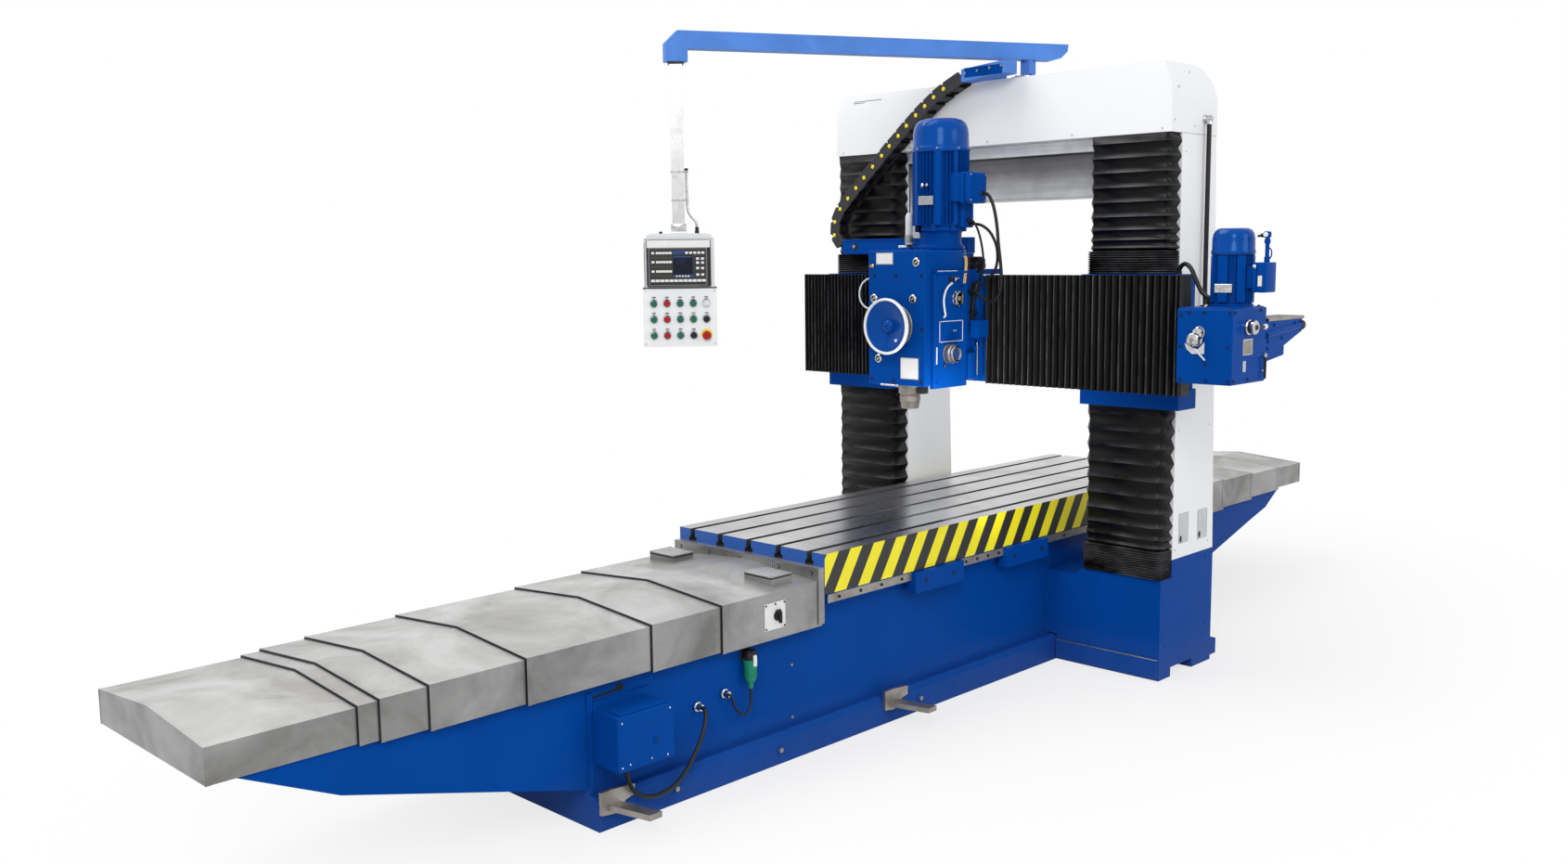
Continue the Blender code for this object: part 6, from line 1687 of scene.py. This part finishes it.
# A near-black sheet under each lid is painted shade in the gap beneath it.
for centre in (-0.3, 0.3):
    flange.block((centre - 0.08, -1.965, 0.7495), (centre + 0.08, -1.845, 0.7565), stainless_sheet, 0.0015)
    flange.block((centre - 0.0782, -1.9632, 0.744), (centre + 0.0782, -1.8468, 0.7498), seam_and_shade_black, 0.0)
    for x, y in ((centre - 0.068, -1.953), (centre + 0.068, -1.953), (centre - 0.068, -1.857),
            (centre + 0.068, -1.857)):
        flange.turned(stud(0.0036, 0.756, 0.7578, 0.7584), bare_steel, upright(x, y), 8)
flange.turned([(0.006, 0.7445), (0.006, 0.762), (0.009, 0.764), (0.009, 0.768), (0.0, 0.7685)], bright_metal,
    upright(0.225, -1.8), 12)
flange.on("table")
rear_flange = Piece("rear_flange_fittings")
for x in (-0.405, -0.217, 0.0, 0.217, 0.405):
    rear_flange.turned(stud(0.0058, -0.0005, 0.005, 0.0056), bare_steel, facing((x, 1.3313, 0.741), (0, 1, 0)), 6)
rear_flange.on("table")
print("covers dressed")

# %% [markdown]
# The bed's fittings are few and plain: a sheet-metal junction box, a crane slot with its hole,
# the plug and its holder, bolts, and the steel strip that carries the table's stops.
# Most of them are on the right side, and the left side repeats only the plain ones.

# %% Junction box, plug and bolts on the bed
BOX_FACE, WALL = 0.543, 0.3923
bed_parts = Piece("bed_fittings")
bed_parts.block((BOX_FACE - 0.001, -2.9, 0.2365), (BOX_FACE + 0.0035, -2.641, 0.4385), blue_paint, 0.002)
bed_parts.block((0.47, -2.879, 0.4395), (0.535, -2.664, 0.4465), blue_paint, 0.002)
bed_parts.block((WALL, -2.915, 0.44), (WALL + 0.004, -2.628, 0.4685), blue_paint, 0.0015)
bed_parts.turned([(0.011, 0), (0.011, 0.005), (0.006, 0.006), (0.0, 0.006)], blue_paint,
    to_right(BOX_FACE + 0.003, -2.728, 0.318), 20)
# The boss's near-black centre is painted shade in its hole.
bed_parts.turned(stud(0.0055, 0.006, 0.0066, 0.0066), seam_and_shade_black, to_right(BOX_FACE + 0.003, -2.728, 0.318), 12)
bed_parts.turned(stud(0.004, 0, 0.001, 0.0014), black_nylon, to_right(BOX_FACE + 0.003, -2.745, 0.385), 10)
# The crane slot is a near-black plate, painted shade in the opening.
for mirror in (1, -1):
    slot = [(-2.925, 0.4745), (-2.786, 0.481), (-2.776, 0.4775), (-2.764, 0.4765), (-2.751, 0.482),
        (-2.747, 0.493), (-2.753, 0.5035), (-2.766, 0.507), (-2.779, 0.501), (-2.784, 0.4905), (-2.925, 0.4815)]
    turn = facing((mirror * (WALL + 0.0002), 0, 0), (mirror, 0, 0))
    bed_parts.plate([(mirror * y, z) for y, z in slot], 0.0, 0.001, seam_and_shade_black, turn)
    for y, z, radius in ((-1.865, 0.373, 0.0065), (-1.865, 0.15, 0.0065), (0.9, 0.373, 0.0065)):
        bed_parts.turned([(radius, 0), (radius, 0.003), (0.0, 0.004)], bare_steel,
            facing((mirror * WALL, y, z), (mirror, 0, 0)), 8)
bed_parts.on("frame")
stops = Piece("stop_strip_faces")
for mirror in (1, -1):
    for y0, y1 in ((-1.7, -1.152), (-0.798, -0.457), (-0.113, 1.274)):
        stops.side_block(mirror, 0.4458, 0.4474, (y0, 0.609), (y1, 0.645), bare_steel, 0.0004)
        for k in range(4):
            stops.turned(stud(0.007, 0, 0.0045, 0.005), black_nylon,
                facing((mirror * 0.4472, y0 + (y1 - y0) * (k + 0.5) / 4, 0.627), (mirror, 0, 0)), 12)
    for y in (-1.075, -0.875, -0.4, -0.17):
        stops.turned(stud(0.0085, 0, 0.004, 0.005), black_nylon, facing((mirror * 0.47, y, 0.6), (mirror, 0, 0)),
            12)
stops.on("table")
corner_screws = [(-2.882, 0.417), (-2.659, 0.422), (-2.674, 0.25), (-2.749, 0.256), (-2.884, 0.254),
    (-2.848, 0.258)]
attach(repeat("box_screws", dome(0.0042), [to_right(BOX_FACE + 0.0035, y, z) for y, z in corner_screws],
    bright_metal), "frame")

plug_parts = Piece("plug_and_socket")
stand = upright(0.423, -2.13)
plug_parts.turned([(0.0085, 0.343), (0.0105, 0.352), (0.013, 0.366), (0.02, 0.374), (0.0235, 0.384),
    (0.025, 0.42), (0.0275, 0.436), (0.0275, 0.446), (0.0295, 0.45), (0.0295, 0.46), (0.024, 0.463)], plug_green,
    stand, 32)
for z in (0.392, 0.404, 0.416, 0.428):
    plug_parts.turned([(0.024, z - 0.003), (0.0272, z - 0.0015), (0.0272, z + 0.0015), (0.024, z + 0.003)],
        plug_green, stand, 32)
plug_parts.turned([(0.0255, 0.459), (0.0275, 0.463), (0.0275, 0.478), (0.0235, 0.484), (0.0235, 0.4975),
    (0.0, 0.499)], black_nylon, stand, 32)
plug_parts.block((0.439, -2.139, 0.436), (0.4545, -2.121, 0.482), white_plastic, 0.003)
plug_parts.block((WALL, -2.146, 0.47), (0.415, -2.114, 0.4995), black_nylon, 0.003)
plug_parts.block((WALL, -2.157, 0.452), (WALL + 0.005, -2.103, 0.4995), black_nylon, 0.002)
plug_parts.on("frame", "plug")

# %% Foot bolts, wings and weld beads
for side_sign in (1, -1):
    feet = Piece("foot_fittings_%s" % ("right" if side_sign > 0 else "left"))
    for y in (-2.557, -2.0, -1.1, 0.9):
        place = facing((side_sign * 0.452, y, 0.06), (side_sign, 0, 0))
        feet.turned(stud(0.016, -0.001, 0.003, 0.003), blue_paint, place, 24)
        feet.turned(stud(0.011, 0.003, 0.012, 0.013), bare_steel, place, 6)
    for y, z in ((0.06, 0.54), (0.44, 0.54), (0.06, 0.16), (0.44, 0.2)):
        place = facing((side_sign * 1.0262, y, z), (side_sign, 0, 0))
        feet.turned(stud(0.006, 0, 0.002, 0.003), blue_paint, place, 10)
    feet.side_block(side_sign, 0.4535, 1.0235, (-0.012, 0.008), (0.0005, 0.1), blue_paint, 0.003)
    feet.side_block(side_sign, 0.4535, 1.0235, (-0.0105, 0.1), (0.0005, 0.104), bare_steel)
    bead = smooth_route([(side_sign * (0.396 + 0.0012 * sin(k * 2.1)), -0.0035 + 0.001 * sin(k * 3.3),
        0.112 + 0.0195 * k) for k in range(24)], 2)
    feet.tube(bead, 0.0042, blue_paint, 8)
    feet.on("frame")

# %% Columns: service pockets, plugs and screws
COLUMN_SIDE = 1.0262
for side_sign in (1, -1):
    col = Piece("column_fittings_%s" % ("right" if side_sign > 0 else "left"))
    normal = (side_sign, 0, 0)
    for y0, y1, z0, z1 in ((0.16, 0.252, 0.645, 0.792), (0.345, 0.44, 0.64, 0.786)):
        for a0, a1, b0, b1 in ((y0, y1, z1 - 0.003, z1), (y0, y0 + 0.003, z0, z1), (y0, y1, z0, z0 + 0.003),
                (y1 - 0.003, y1, z0, z1)):
            col.side_block(side_sign, COLUMN_SIDE - 0.0006, COLUMN_SIDE + 0.0016, (a0, b0), (a1, b1), galvanised,
                0.0004)
        # A flush grey plate, darkened as painted shade, stands in for the pocket's recess.
        col.side_block(side_sign, COLUMN_SIDE - 0.0006, COLUMN_SIDE + 0.0004, (y0, z0), (y1, z1), pocket_grey_and_shade,
            0.0)
        plug_place = facing((side_sign * COLUMN_SIDE, y0 + 0.02, z0 + 0.022),
            normal) @ Matrix.Diagonal((0.75, 1.25, 1, 1))
        col.turned([(0.013, 0), (0.013, 0.002), (0.01, 0.003), (0.0, 0.003)], black_nylon, plug_place, 20)
    for y, z in ((0.13, 0.62), (0.45, 0.62), (0.14, 1.2), (0.44, 1.2), (0.41, 1.95), (0.14, 2.5), (0.38, 2.5)):
        col.turned(stud(0.0045, 0, 0.0016, 0.0022), galvanised, facing((side_sign * COLUMN_SIDE, y, z), normal),
            10)
    col.side_block(side_sign, COLUMN_SIDE - 0.0006, COLUMN_SIDE + 0.0009, (0.11, 2.5835), (0.43, 2.5862),
        galvanised, 0.0)
    for y, z in ((0.03, 2.64), (0.06, 2.79), (0.37, 2.62), (0.215, 2.62), (0.15, 2.86)):
        col.turned(stud(0.0055, 0, 0.002, 0.003), galvanised, facing((side_sign * COLUMN_SIDE, y, z), normal), 10)
    col.on("frame")
top_piece = Piece("top_beam_faces")
top_piece.block((-0.5997, 0.104, 2.312), (0.5997, 0.384, 2.5847), beam_faces, 0.004)
top_piece.on("frame", "top_beam")
beam_bits = Piece("beam_fittings")
for x in (-0.98, -0.5, 0.0, 0.5, 0.98):
    beam_bits.turned(stud(0.005, 0, 0.0018, 0.0026), galvanised, to_front(x, 0.0, 2.602), 10)
for x in (-0.93, -0.31, 0.31, 0.93):
    for y in (0.05, 0.38):
        beam_bits.turned(stud(0.007, 2.905, 2.908, 2.9095), galvanised, upright(x, y), 10)
beam_bits.block((-0.9, -0.0008, 2.87), (-0.7, 0.0004, 2.8722), seam_and_shade_black, 0.0)
beam_bits.block((-0.9, -0.0008, 2.862), (-0.82, 0.0004, 2.8642), seam_and_shade_black, 0.0)
beam_bits.on("frame")

# %% Arm: post cap, its bolts and the pole's collar
arm_bits = Piece("arm_fittings")
arm_bits.turned([(0.072, 2.9052), (0.072, 2.9152), (0.068, 2.9172), (0.0, 2.9172)], galvanised,
    upright(0.17, 0.105), 40)
arm_bits.on("frame")
post_bolts = [upright(0.17 + 0.058 * cos(radians(45 + 90 * k)), 0.105 + 0.058 * sin(radians(45 + 90 * k)))
    @ Matrix.Translation((0, 0, 2.9172)) for k in range(4)]
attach(repeat("post_bolts", cap_screw(0.0075), post_bolts, black_nylon), "frame")
collar = Piece("pole_collar")
collar.block((-0.0365, -0.0365, 2.925), (0.0365, 0.0365, 2.9345), black_nylon, 0.001, turned_case)
collar.on("pendant")
print("bed, columns and beam dressed")
